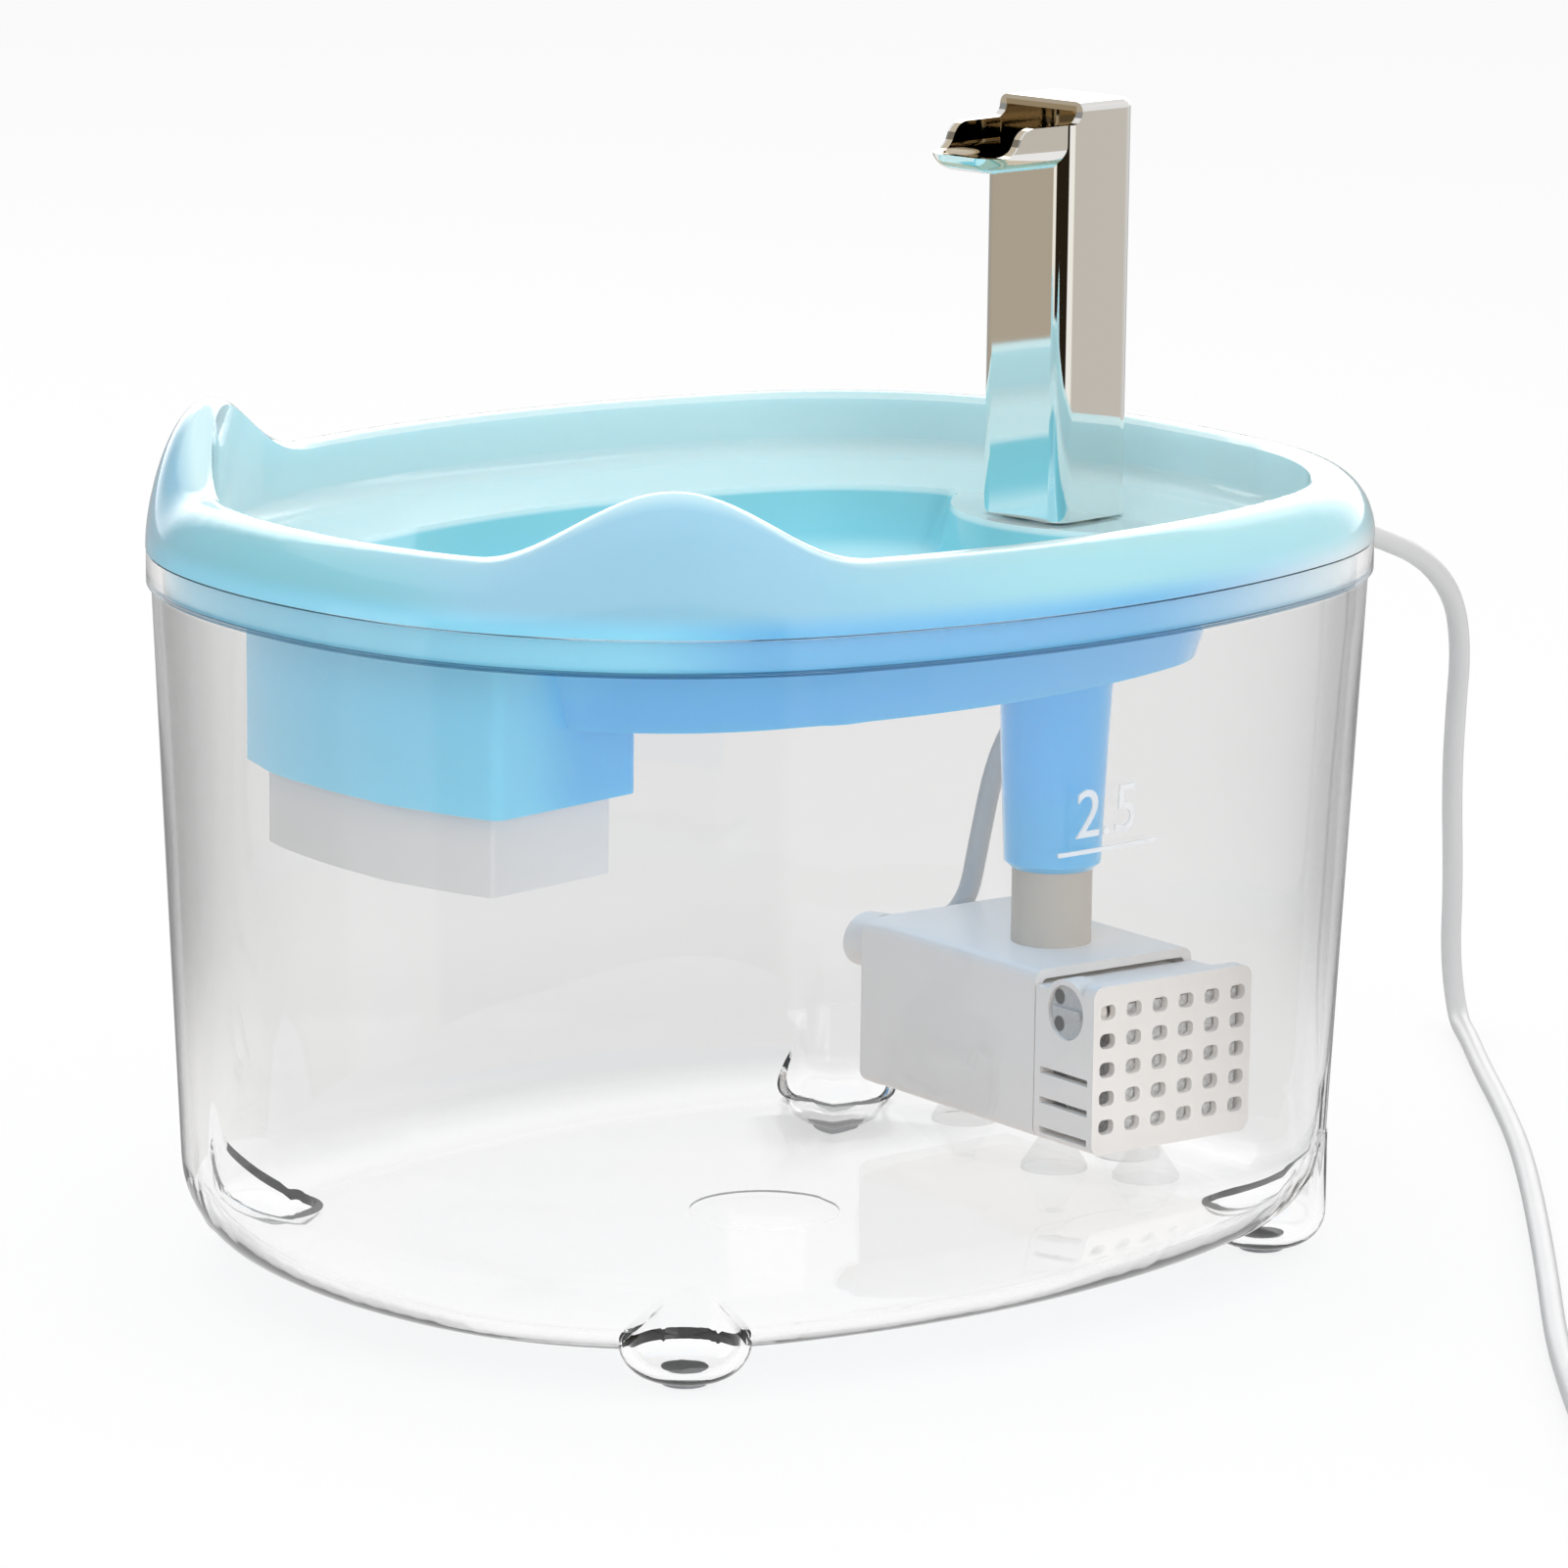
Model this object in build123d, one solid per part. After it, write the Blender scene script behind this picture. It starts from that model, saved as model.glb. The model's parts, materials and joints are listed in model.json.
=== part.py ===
from build123d import *
import math
import os

# Pet water fountain: a clear tank, a blue tray with a chromed faucet, a filter cartridge under the tray
# and a small submersible pump. Millimetres, +Z up, +X towards the faucet end, origin under the middle
# of the tank on the surface that it stands on.

os.makedirs("parts", exist_ok=True)

# plan outline: six tangent arcs on each side of the X axis
half_length = 113.0
half_width = 95.0
side_mid_x = 2.9
ear_end_flatness = 1.51
ear_corner_share = 0.7789
side_flatness = 1.4806
faucet_corner_share = 0.6708
faucet_end_flatness = 2.3977

# clearances
seat_gap = 0.3
run_gap = 0.06

# tank
lip_z = 135.0
band_height = 6.2
band_inset = 0.1
wall_inset = 1.0
wall_draft = 0.047
tank_wall = 2.0
tank_floor = 2.6
tank_bottom_z = 5.0
tank_corner = 18.0
foot_radius = 11.8
foot_round = 7.0
foot_places = [(45.6 - half_length, half_width - 34.6), (half_length - 37.8, half_width - 35.4)]
pad_radius = 4.4
pad_thickness = 1.0
pad_round = 0.5
gate_radius = 14.0
gate_depth = 0.4
gate_x = 3.8

# tray rim and its two ears
crest_height = 11.2
crest_inset = 9.3
rim_width = 12.0
inner_drop = 5.0
rim_blank = 1.5
ear_stations = 13
oval_pull = 0.5523
ear_height = 12.8
ear_bearing = 128.5
ear_half_span = 39.4
rim_hollow_outer = 5.4
rim_hollow_inner = 9.8
hollow_roof = 2.6
skirt_outer = 3.4
skirt_drop = 6.4

# tray ledge and bowl
tray_wall = 2.2
ledge_outer_z = 134.0
ledge_z = 131.0
bowl_inset = 30.0
bowl_depth = 13.8
bowl_draft = 16.0
bowl_rear_x = half_length - 25.0
bowl_floor_round = 5.0
faucet_pier_radius = 33.0
faucet_pier_x = half_length - 20.0
pier_fillet = 7.0
ledge_round = 4.0
drain_radius = 1.7
drain_pitch = 7.0
drain_rows = 3
drain_columns = 7
drain_x = 45.0 - half_length

# filter housing under the tray and the cartridge in it
housing_bottom_z = 99.0
housing_inset = 17.0
housing_rear_x = 58.5 - half_length
housing_front_half = 36.7
housing_rear_half = 31.5
housing_corner = 2.5
housing_wall = 2.2
cartridge_bottom_z = 84.4
cartridge_top_z = 111.0
cartridge_gap = 3.5
cartridge_wall = 1.4
cartridge_lip = 2.0
lid_thickness = 1.6
slot_width = 1.8
slot_pitch = 4.6
fibre_pad_thickness = 3.0
foam_thickness = 8.0

# downpipe and faucet
pipe_x = half_length - 37.0
pipe_bottom_z = 63.0
pipe_bottom_radius = 9.3
pipe_taper = 0.0425
pipe_chamfer = 1.2
pipe_way_radius = 5.6
sleeve_depth = 13.0
socket_depth = 17.0
socket_radius = 8.0
faucet_turn = 4.0
post_depth = 19.5
post_width = 21.0
post_round = 3.0
post_top_z = 210.4
post_centre_x = -1.6
faucet_wall = 1.8
faucet_lift = 0.2
spigot_gap = 0.3
spigot_length = 15.0
seal_section = 0.95
seal_drop = 6.0
spout_width = 19.6
spout_tip_width = 18.0
spout_reach = 18.6
spout_drop = 12.4
spout_tip_rise = 1.4
spout_side_drop = 4.1
spout_tip_round = 5.0
spout_edge_round = 4.5
spout_step_start = 0.42
spout_step_end = 0.8
spout_step_slope = 0.05
arch_setback = 4.4
arch_round = 2.4

# pump, with its own axes: x across it, y along it, z up, turned about the downpipe's axis
pump_turn = -5.0
pump_bottom_z = 16.0
pump_height = 32.4
pump_width = 38.0
pump_rear_y = 35.6
pump_front_y = -19.2
pump_round = 2.2
pump_wall = 1.8
cap_front_y = -36.9
cap_wall = 1.6
cap_flange = 3.4
cap_tongue = 4.0
cap_top_drop = 2.6
hole_columns = 6
hole_rows = 5
hole_pitch_x = 6.25
hole_pitch_z = 5.5
hole_width = 3.6
hole_height = 2.9
hole_first_z = 21.4
side_slots = 3
side_slot_pitch = 5.8
side_slot_height = 1.3
side_slot_z = 18.2
side_slot_length = 18.0
dial_y = -28.5
dial_z = 42.1
dial_radius = 5.2
dial_recess = 2.4
pod_radius = 6.4
dial_thickness = 1.6
axis_z = 31.0
chamber_radius = 12.0
chamber_front_y = -6.0
chamber_rear_y = 6.5
well_radius = 7.2
well_rear_y = 27.0
well_wall = 1.2
stub_radius = 5.2
stub_bore = 3.6
stub_length = 12.0
sleeve_radius = 7.72
cup_radius = 6.4
cup_edge = 0.7
cup_top_radius = 2.2
cup_hollow = 1.6
cup_neck = 1.8
cup_places = [(-9.0, -13.5), (9.0, -13.5), (0.0, 26.0)]
cap_cup_y = -30.0
gland_x = -13.0
gland_z = 43.0
gland_radius = 5.4
gland_length = 7.4
gland_arm_radius = 3.0
gland_arm_reach = 8.0
core_leg = 5.0
core_end_gap = 2.0
coil_rise = 6.0
hole_round = 0.4

# impeller, magnet and shaft
shaft_radius = 1.25
magnet_radius = 6.6
magnet_length = 16.0
magnet_rear_y = 26.5
blade_count = 6
blade_thickness = 1.2
blade_radius = 11.0
blade_width = 7.0
hub_radius = 3.6
bush_length = 3.0
bush_radius = 2.6
cover_radius = 13.1

# power cord
cord_radius = 2.1
cord_rest_z = 2.3
cord_exit_z = 131.2
notch_gap = 0.7
cord_start_run = 8.0
cord_way = [  # x from the faucet end of the outline
    (-22.0, 39.6, 46.8),
    (-18.0, 41.0, 58.0),
    (-16.5, 37.5, 77.0),
    (-15.2, 27.0, 95.0),
    (-14.7, 12.0, 110.0),
    (-13.5, 2.0, 122.0),
    (-3.4, 0.0, 132.4),
    (13.0, -0.4, 129.6),
    (30.0, -1.5, 124.5),
    (47.5, -2.0, 118.0),
    (64.5, 1.7, 112.0),
    (79.0, 6.5, 102.0),
    (88.0, 12.5, 89.0),
    (96.0, 21.0, 74.0),
    (105.0, 30.0, 56.0),
    (118.0, 41.0, 31.0),
    (123.0, 46.0, 14.0),
    (118.0, 38.5, cord_rest_z),
    (109.0, 27.0, cord_rest_z),
    (91.0, 6.0, cord_rest_z),
    (73.0, -16.0, cord_rest_z),
    (51.0, -42.0, cord_rest_z),
    (23.0, -72.0, cord_rest_z),
    (-16.0, -112.0, cord_rest_z),
    (-48.0, -144.0, cord_rest_z),
    (-73.0, -171.5, cord_rest_z),
    (-92.5, -198.0, cord_rest_z),
    (-103.0, -215.0, cord_rest_z),
]
coil_mid_radius = 23.5
coil_half_width = 6.6
coil_half_height = 6.35
coil_centre = (half_length - 84.4, -229.6)
tail_bearing = 228.6
tail_free = 12.0
plug_length = 20.0
plug_width = 15.6
plug_thickness = 8.0
contact_length = 12.0
contact_width = 12.0
contact_thickness = 4.5
boot_length = 10.0
boot_radius = 3.3
plug_round = 2.4
boot_taper = 0.8
arc_share = 0.45

# values worked out from the sizes above
end_round = half_width**2 / half_length
corner_round = math.sqrt(half_length * half_width)
ear_end_radius = ear_end_flatness * end_round
ear_corner_radius = ear_corner_share * corner_round
side_radius = side_flatness * half_length**2 / half_width
faucet_corner_radius = faucet_corner_share * corner_round
faucet_end_radius = faucet_end_flatness * end_round
band_bottom_z = lip_z - band_height
tank_top_z = lip_z - seat_gap
floor_z = tank_bottom_z + tank_floor
crest_z = lip_z + crest_height
skirt_inner = rim_hollow_outer
pipe_top_radius = pipe_bottom_radius + pipe_taper * (ledge_z - pipe_bottom_z)
pump_top_z = pump_bottom_z + pump_height
spout_bottom_z = post_top_z - spout_drop
spout_side_z = post_top_z - spout_side_drop
ear_centre_x = -half_length + ear_end_radius
side_centre_y = half_width - side_radius
faucet_centre_x = half_length - faucet_end_radius


def tangent_centre(first, first_radius, second, second_radius, radius, end):
    """Centre of the arc inside two circles that touches both, towards one end of the X axis."""
    gap = math.dist(first, second)
    a = first_radius - radius
    b = second_radius - radius
    along = (a * a - b * b + gap * gap) / (2 * gap)
    aside = math.sqrt(a * a - along * along)
    ux = (second[0] - first[0]) / gap
    uy = (second[1] - first[1]) / gap
    points = [
        (first[0] + along * ux - side * aside * uy, first[1] + along * uy + side * aside * ux)
        for side in (1, -1)
    ]
    return max(points, key=lambda point: end * point[0])


ear_end = (ear_centre_x, 0.0)
side_arc = (side_mid_x, side_centre_y)
faucet_end = (faucet_centre_x, 0.0)
ear_corner = tangent_centre(ear_end, ear_end_radius, side_arc, side_radius, ear_corner_radius, -1)
faucet_corner = tangent_centre(faucet_end, faucet_end_radius, side_arc, side_radius, faucet_corner_radius, 1)


def bearing(start, end):
    """Direction from one plan point to another, in degrees from +X."""
    return math.degrees(math.atan2(end[1] - start[1], end[0] - start[0]))


# half outline from the ear end to the faucet end: centre, radius, first and last bearing
half_arcs = [
    (ear_end, ear_end_radius, 180.0, bearing(ear_end, ear_corner)),
    (ear_corner, ear_corner_radius, bearing(ear_end, ear_corner), bearing(side_arc, ear_corner)),
    (side_arc, side_radius, bearing(side_arc, ear_corner), bearing(side_arc, faucet_corner)),
    (
        faucet_corner,
        faucet_corner_radius,
        bearing(side_arc, faucet_corner),
        bearing(faucet_end, faucet_corner),
    ),
    (faucet_end, faucet_end_radius, bearing(faucet_end, faucet_corner), 0.0),
]


def polar(centre, radius, degrees):
    """Plan point at a bearing and a distance from a centre."""
    turn = math.radians(degrees)
    return (centre[0] + radius * math.cos(turn), centre[1] + radius * math.sin(turn))


def outline(inset, z=0.0):
    """The plan outline as a face, moved inwards by inset."""
    edges = []
    for side in (1, -1):
        for centre, radius, first, last in half_arcs:
            points = [polar(centre, radius - inset, first + (last - first) * part) for part in (0, 0.5, 1)]
            edges.append(ThreePointArc(*[(x, side * y, z) for x, y in points]))
    return make_face(Wire(edges).edges())


def prism(inset, low, high):
    """Upright solid of the outline between two heights."""
    return extrude(outline(inset, low), amount=high - low, dir=(0, 0, 1))


def between(low_inset, low, high_inset, high):
    """Solid whose wall runs straight from one inset outline to another above it."""
    return loft([outline(low_inset, low), outline(high_inset, high)], ruled=True)


def wall_at(z):
    """Inset of the tank's outer wall at a height."""
    return wall_inset + wall_draft * (band_bottom_z - z)


def bottom_edges(shape):
    """Edges that lie in the lowest level of a shape."""
    return shape.edges().group_by(Axis.Z)[0]


def cylinder_at(x, y, low, high, radius):
    """Upright cylinder between two heights."""
    return Pos(x, y, low) * extrude(Circle(radius), amount=high - low)


def box_between(x0, x1, y0, y1, z0, z1):
    """Box given by its limits."""
    return Pos((x0 + x1) / 2, (y0 + y1) / 2, (z0 + z1) / 2) * Box(x1 - x0, y1 - y0, z1 - z0)


def write(shape, name):
    """Write one sub-part."""
    export_step(shape, f"parts/{name}.step")


# tank -----------------------------------------------------------------------------------------------

foot_spots = [(x, side * y) for x, y in foot_places for side in (1, -1)]
foot_top_z = tank_bottom_z + tank_corner
notch_radius = cord_radius + notch_gap


def make_tank():
    """Clear tank with a rim band, a rounded foot of its wall, four hollow feet and a cord notch."""
    shell = between(wall_at(tank_bottom_z), tank_bottom_z, wall_inset, band_bottom_z)
    shell = fillet(bottom_edges(shell), tank_corner)
    room = between(wall_at(floor_z) + tank_wall, floor_z, wall_inset + tank_wall, band_bottom_z)
    room = fillet(bottom_edges(room), tank_corner - tank_wall)
    for x, y in foot_spots:
        foot = cylinder_at(x, y, pad_thickness, foot_top_z, foot_radius)
        shell += fillet(bottom_edges(foot), foot_round)
        hollow = cylinder_at(x, y, pad_thickness + tank_wall, foot_top_z, foot_radius - tank_wall)
        room += fillet(bottom_edges(hollow), foot_round - tank_wall)
    shell += prism(band_inset, band_bottom_z, tank_top_z)
    room += prism(wall_inset + tank_wall, band_bottom_z, lip_z)
    gate = cylinder_at(gate_x, 0, tank_bottom_z, tank_bottom_z + gate_depth, gate_radius)
    notch_x = half_length - rim_width
    notch = box_between(notch_x, half_length + 1, -notch_radius, notch_radius, cord_exit_z, lip_z)
    saddle = Pos(half_length, 0, cord_exit_z) * Rot(0, 90, 0) * Cylinder(notch_radius, 2 * rim_width)
    return shell - room - gate - notch - saddle


tank = make_tank()
write(tank, "tank")
for number, (x, y) in enumerate(foot_spots, 1):
    pad = cylinder_at(x, y, 0, pad_thickness, pad_radius)
    write(fillet(bottom_edges(pad), pad_round), f"foot_pad_{number}")


# tray -----------------------------------------------------------------------------------------------


def ear_station(distance):
    """Centre, radius and bearing on the outline at a distance from an ear's peak, towards the side."""
    joint = ear_corner_radius * math.radians(ear_bearing - half_arcs[1][3])
    if distance <= joint:
        return ear_corner, ear_corner_radius, ear_bearing - math.degrees(distance / ear_corner_radius)
    return side_arc, side_radius, half_arcs[2][2] - math.degrees((distance - joint) / side_radius)


def ear_rise(distance):
    """How far the rim stands above its usual crest at this distance from an ear's peak."""
    if abs(distance) >= ear_half_span:
        return 0.0
    return ear_height * (1 + math.cos(math.pi * distance / ear_half_span)) / 2


def rim_section(centre, radius, degrees, rise=0.0):
    """Closed section of the rim: a tall quarter oval outside and a lower one inside."""
    top = crest_z + rise
    blank_inset = rim_width + rim_blank

    def at(inset, z):
        x, y = polar(centre, radius - inset, degrees)
        return (x, y, z)

    low = at(0, lip_z)
    crest = at(crest_inset, top)
    inside = at(blank_inset, top - inner_drop)
    foot = at(blank_inset, lip_z)
    outer = Edge.make_bezier(
        low,
        at(0, lip_z + oval_pull * (top - lip_z)),
        at(crest_inset * (1 - oval_pull), top),
        crest,
    )
    inner = Edge.make_bezier(
        crest,
        at(crest_inset + oval_pull * (blank_inset - crest_inset), top),
        at(blank_inset, top - inner_drop * (1 - oval_pull)),
        inside,
    )
    return Wire([outer, inner, Edge.make_line(inside, foot), Edge.make_line(foot, low)])


def make_rim():
    """Rim turned about the outline's arcs, with its ears lofted, and hollow from below."""
    marks = [ear_half_span * (2 * number / ear_stations - 1) for number in range(ear_stations + 1)]
    half = Solid.make_loft([rim_section(*ear_station(mark), ear_rise(mark)) for mark in marks])
    for number, (centre, radius, first, last) in enumerate(half_arcs):
        if number == 1:
            last = ear_station(-ear_half_span)[2]
        if number == 2:
            first = ear_station(ear_half_span)[2]
        section = make_face(rim_section(centre, radius, last))
        half += revolve(section, axis=Axis((*centre, 0), (0, 0, 1)), revolution_arc=first - last)
    hollow_top = crest_z - hollow_roof
    hollow = prism(rim_hollow_outer, lip_z - 1, hollow_top) - prism(rim_hollow_inner, lip_z - 1, hollow_top)
    return half + mirror(half, about=Plane.XZ) - hollow


def bowl_face(inset, z):
    """Plan of the bowl: the outline cut off behind, with a pier left standing for the faucet."""
    rear = bowl_rear_x - (inset - bowl_inset)
    face = outline(inset) & Pos(rear - half_length, 0) * Rectangle(2 * half_length, 2 * half_width)
    face -= Pos(faucet_pier_x, 0) * Circle(faucet_pier_radius + inset - bowl_inset)
    return Pos(0, 0, z) * face


def bowl_solid(inset, top, depth):
    """The bowl's volume, drawn in towards its floor, with rounded upright corners behind."""
    low_inset = inset + depth * math.tan(math.radians(bowl_draft))
    solid = loft([bowl_face(inset, top), bowl_face(low_inset, top - depth)], ruled=True)
    pier = Vector(faucet_pier_x, 0, top - depth / 2)
    pier_reach = faucet_pier_radius + low_inset - bowl_inset
    upright = [
        edge
        for edge in solid.edges()
        if edge.bounding_box().size.Z > depth / 2 and (edge.center() - pier).length < pier_reach
    ]
    return fillet(upright, pier_fillet)


def housing_face(gap, z):
    """Plan of the filter housing: a front that follows the tank's end, and sides that draw in."""
    front = -half_length
    rear = housing_rear_x - gap
    lean = (housing_front_half - housing_rear_half) / (housing_rear_x + half_length - housing_inset)
    rear_half = housing_rear_half - gap
    front_half = rear_half + lean * (rear - front)
    corners = [(rear, -rear_half), (rear, rear_half), (front, front_half), (front, -front_half)]
    face = make_face(Polyline(*corners, close=True))
    face &= Pos(*ear_end) * Circle(ear_end_radius - housing_inset - gap)
    return Pos(0, 0, z) * face


def housing_prism(gap, low, high):
    """Upright solid of the housing's plan, with rounded corners."""
    solid = extrude(housing_face(gap, low), amount=high - low, dir=(0, 0, 1))
    upright = solid.edges().filter_by(Axis.Z)
    corners = [edge for edge in upright if abs(edge.center().Y) > housing_rear_half / 2]
    return fillet(corners, max(housing_corner - gap / 2, cartridge_wall / 2))


def make_tray():
    """Tray with rim, ears, ledge, bowl, filter housing, drain holes and the faucet's downpipe."""
    rim = make_rim()
    skirt_low = lip_z - skirt_drop
    skirt = prism(skirt_outer, skirt_low, lip_z + 1) - prism(skirt_inner, skirt_low, lip_z + 1)
    shell = between(bowl_inset - tray_wall, ledge_z - tray_wall, rim_hollow_inner, ledge_outer_z - tray_wall)
    shell += prism(rim_hollow_inner, ledge_outer_z - tray_wall, lip_z + 1)
    bowl_skin = bowl_depth + tray_wall / 2 + tray_wall
    shell += bowl_solid(bowl_inset - tray_wall, ledge_z - tray_wall / 2, bowl_skin)
    housing = housing_prism(0, housing_bottom_z, ledge_z)
    shell += housing - housing_prism(housing_wall, housing_bottom_z, ledge_z)
    pipe = Cone(pipe_bottom_radius, pipe_top_radius, ledge_z - pipe_bottom_z)
    shell += Pos(pipe_x, 0, (ledge_z + pipe_bottom_z) / 2) * chamfer(bottom_edges(pipe), pipe_chamfer)
    room = between(bowl_inset, ledge_z, rim_width, ledge_outer_z)
    room += prism(rim_width, ledge_outer_z, crest_z + 2 * ear_height)
    corner = [edge for edge in room.edges() if abs(edge.center().Z - ledge_outer_z) < 0.01]
    room = fillet(corner, ledge_round)
    bowl = bowl_solid(bowl_inset, ledge_z, bowl_depth)
    bowl = fillet(bottom_edges(bowl), bowl_floor_round)
    shell = rim + shell - room - bowl
    for row in range(drain_rows):
        for column in range(drain_columns):
            x = drain_x + (row - (drain_rows - 1) / 2) * drain_pitch
            y = (column - (drain_columns - 1) / 2) * drain_pitch
            shell -= cylinder_at(x, y, housing_bottom_z, ledge_z, drain_radius)
    shell -= cylinder_at(pipe_x, 0, pipe_bottom_z, ledge_z, pipe_way_radius)
    shell -= cylinder_at(pipe_x, 0, pipe_bottom_z, pipe_bottom_z + sleeve_depth, sleeve_radius + run_gap)
    shell -= cylinder_at(pipe_x, 0, ledge_z - socket_depth, ledge_z + 1, socket_radius)
    notch_top_z = cord_exit_z + cord_radius + tank_wall / 2
    notch_half = 2 * cord_radius
    skirt -= box_between(0, half_length, -notch_half, notch_half, skirt_low - 1, notch_top_z)
    return shell + skirt


tray = make_tray()
write(tray, "tray")


# filter cartridge -----------------------------------------------------------------------------------


def slots(face_height, depth):
    """Rows of long slots across the cartridge, cut through a plate at a height."""
    front = -half_length + housing_inset + cartridge_gap + 2 * cartridge_wall
    rear = housing_rear_x - cartridge_gap - 2 * cartridge_wall
    half_span = housing_rear_half - cartridge_gap - 3 * cartridge_wall
    count = int((rear - front - slot_width) // slot_pitch) + 1
    first = (front + rear - (count - 1) * slot_pitch) / 2
    bars = [
        box_between(x - slot_width / 2, x + slot_width / 2, y0, y1, face_height, face_height + depth)
        for x in (first + slot_pitch * number for number in range(count))
        for y0, y1 in ((-half_span, -cartridge_wall / 2), (cartridge_wall / 2, half_span))
    ]
    return Part() + bars


def make_filter_case():
    """Open cup of the cartridge with a slotted floor and a lip that guides it in the housing."""
    inner_gap = cartridge_gap + cartridge_wall
    case = housing_prism(cartridge_gap, cartridge_bottom_z, cartridge_top_z)
    case += housing_prism(housing_wall + seat_gap, cartridge_top_z - cartridge_lip, cartridge_top_z)
    case = case - housing_prism(inner_gap, cartridge_bottom_z + cartridge_wall, cartridge_top_z)
    return case - slots(cartridge_bottom_z, cartridge_wall)


def make_filter_lid():
    """Slotted lid that lies on the cup."""
    lid = housing_prism(housing_wall + seat_gap, cartridge_top_z, cartridge_top_z + lid_thickness)
    return lid - slots(cartridge_top_z, lid_thickness)


def filling(low, high):
    """Layer that fills the cup between two heights."""
    return housing_prism(cartridge_gap + cartridge_wall + run_gap, low, high)


foam_top_z = cartridge_bottom_z + cartridge_wall + foam_thickness
fibre_low_z = cartridge_top_z - fibre_pad_thickness
write(make_filter_case(), "filter_case")
write(make_filter_lid(), "filter_lid")
write(filling(cartridge_bottom_z + cartridge_wall, foam_top_z), "filter_foam")
write(filling(foam_top_z, fibre_low_z), "filter_granules")
write(filling(fibre_low_z, cartridge_top_z), "filter_fibre_pad")


# faucet ---------------------------------------------------------------------------------------------

faucet_base_z = ledge_z + seat_gap + faucet_lift
post_front = post_centre_x - post_depth / 2
post_rear = post_front + post_depth
arch_x = post_front + arch_setback
spout_tip_x = post_front - spout_reach
spigot_radius = socket_radius - spigot_gap
seal_z = ledge_z - seal_drop
seal_groove_radius = socket_radius - run_gap - 2 * seal_section


def spout_profile():
    """Side view of what is cut away above the spout, from its tip back to the arch in the post."""
    floor_tip = spout_bottom_z + spout_tip_rise + faucet_wall
    side_start = post_front - spout_step_start * spout_reach
    side_end = post_front - spout_step_end * spout_reach
    middle = ((side_start + side_end) / 2, (spout_side_z + floor_tip) / 2)
    bend_x = arch_x - arch_round
    bend_z = spout_side_z + arch_round
    top = post_top_z + post_round
    outer = spout_tip_x - post_round
    return make_face(
        Curve()
        + [
            Line((outer, floor_tip), (side_end, floor_tip)),
            TangentArc((side_end, floor_tip), middle, tangent=(1, spout_step_slope)),
            TangentArc((side_start, spout_side_z), middle, tangent=(-1, -spout_step_slope)),
            Line((side_start, spout_side_z), (bend_x, spout_side_z)),
            TangentArc((bend_x, spout_side_z), (arch_x, bend_z), tangent=(1, 0)),
            Line((arch_x, bend_z), (arch_x, top)),
            Line((arch_x, top), (outer, top)),
            Line((outer, top), (outer, floor_tip)),
        ]
    )


def upright_slice(face, width):
    """Solid of a side view, as wide as asked and centred on the faucet."""
    return extrude(Plane.XZ * face, amount=width / 2, both=True)


def spout_form(inset, low, high):
    """Spout that narrows to its rounded tip, from the post forward, moved inwards by inset."""
    root = spout_width / 2 - inset
    tip = spout_tip_width / 2 - inset
    front = spout_tip_x + inset
    back = arch_x + faucet_wall
    wide = tip + (root - tip) * (back - front) / (post_front - front)
    plan = make_face(Polyline((front, -tip), (back, -wide), (back, wide), (front, tip), close=True))
    form = Pos(0, 0, low) * extrude(plan, amount=high - low)
    tip_corners = [edge for edge in form.edges().filter_by(Axis.Z) if edge.center().X < front + 1]
    form = fillet(tip_corners, spout_tip_round - inset)
    under = [edge for edge in form.edges().group_by(Axis.Z)[0] if edge.center().X < back - 1]
    return fillet(under, spout_edge_round - inset)


def make_faucet():
    """Hollow post with an open trough for a spout and a round spigot below, about its own axis."""
    half_post = post_width / 2
    post = box_between(post_front, post_rear, -half_post, half_post, faucet_base_z, post_top_z)
    post = fillet(post.edges().filter_by(Axis.Z), post_round)
    post = fillet(post.edges().group_by(Axis.Z)[-1], faucet_wall)
    spout = spout_form(0, spout_bottom_z, post_top_z - faucet_wall)
    body = post + spout - upright_slice(spout_profile(), 2 * post_width)
    half_room = half_post - faucet_wall
    duct_front = post_front + faucet_wall
    duct_rear = post_rear - faucet_wall
    duct_top_z = post_top_z - faucet_wall
    duct = box_between(duct_front, duct_rear, -half_room, half_room, faucet_base_z + faucet_wall, duct_top_z)
    duct = fillet(duct.edges().filter_by(Axis.Z), post_round - faucet_wall)
    trough = spout_form(faucet_wall, spout_bottom_z + faucet_wall, duct_top_z)
    spigot = cylinder_at(0, 0, ledge_z - spigot_length, faucet_base_z, spigot_radius)
    spigot = chamfer(bottom_edges(spigot), faucet_wall / 2)
    groove = cylinder_at(0, 0, seal_z - seal_section, seal_z + seal_section, socket_radius)
    groove -= cylinder_at(0, 0, seal_z - seal_section, seal_z + seal_section, seal_groove_radius)
    way = cylinder_at(0, 0, ledge_z - spigot_length, faucet_base_z + 2 * faucet_wall, pipe_way_radius)
    return body - duct - trough + (spigot - groove) - way


at_faucet = Pos(pipe_x, 0, 0) * Rot(0, 0, faucet_turn)
write(at_faucet * make_faucet(), "faucet")
seal = Pos(0, 0, seal_z) * Torus(socket_radius - run_gap - seal_section, seal_section)
write(at_faucet * seal, "faucet_seal")


# pump -----------------------------------------------------------------------------------------------

at_pump = Pos(pipe_x, 0, 0) * Rot(0, 0, pump_turn)
half_pump = pump_width / 2
cap_back_y = pump_front_y - seat_gap
cap_inner_front = cap_front_y + cap_wall
cap_top_z = pump_top_z - cap_top_drop


def lying_cylinder(x, z, y0, y1, radius):
    """Cylinder along the pump between two stations."""
    return Pos(x, (y0 + y1) / 2, z) * Rot(90, 0, 0) * Cylinder(radius, y1 - y0)


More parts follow.
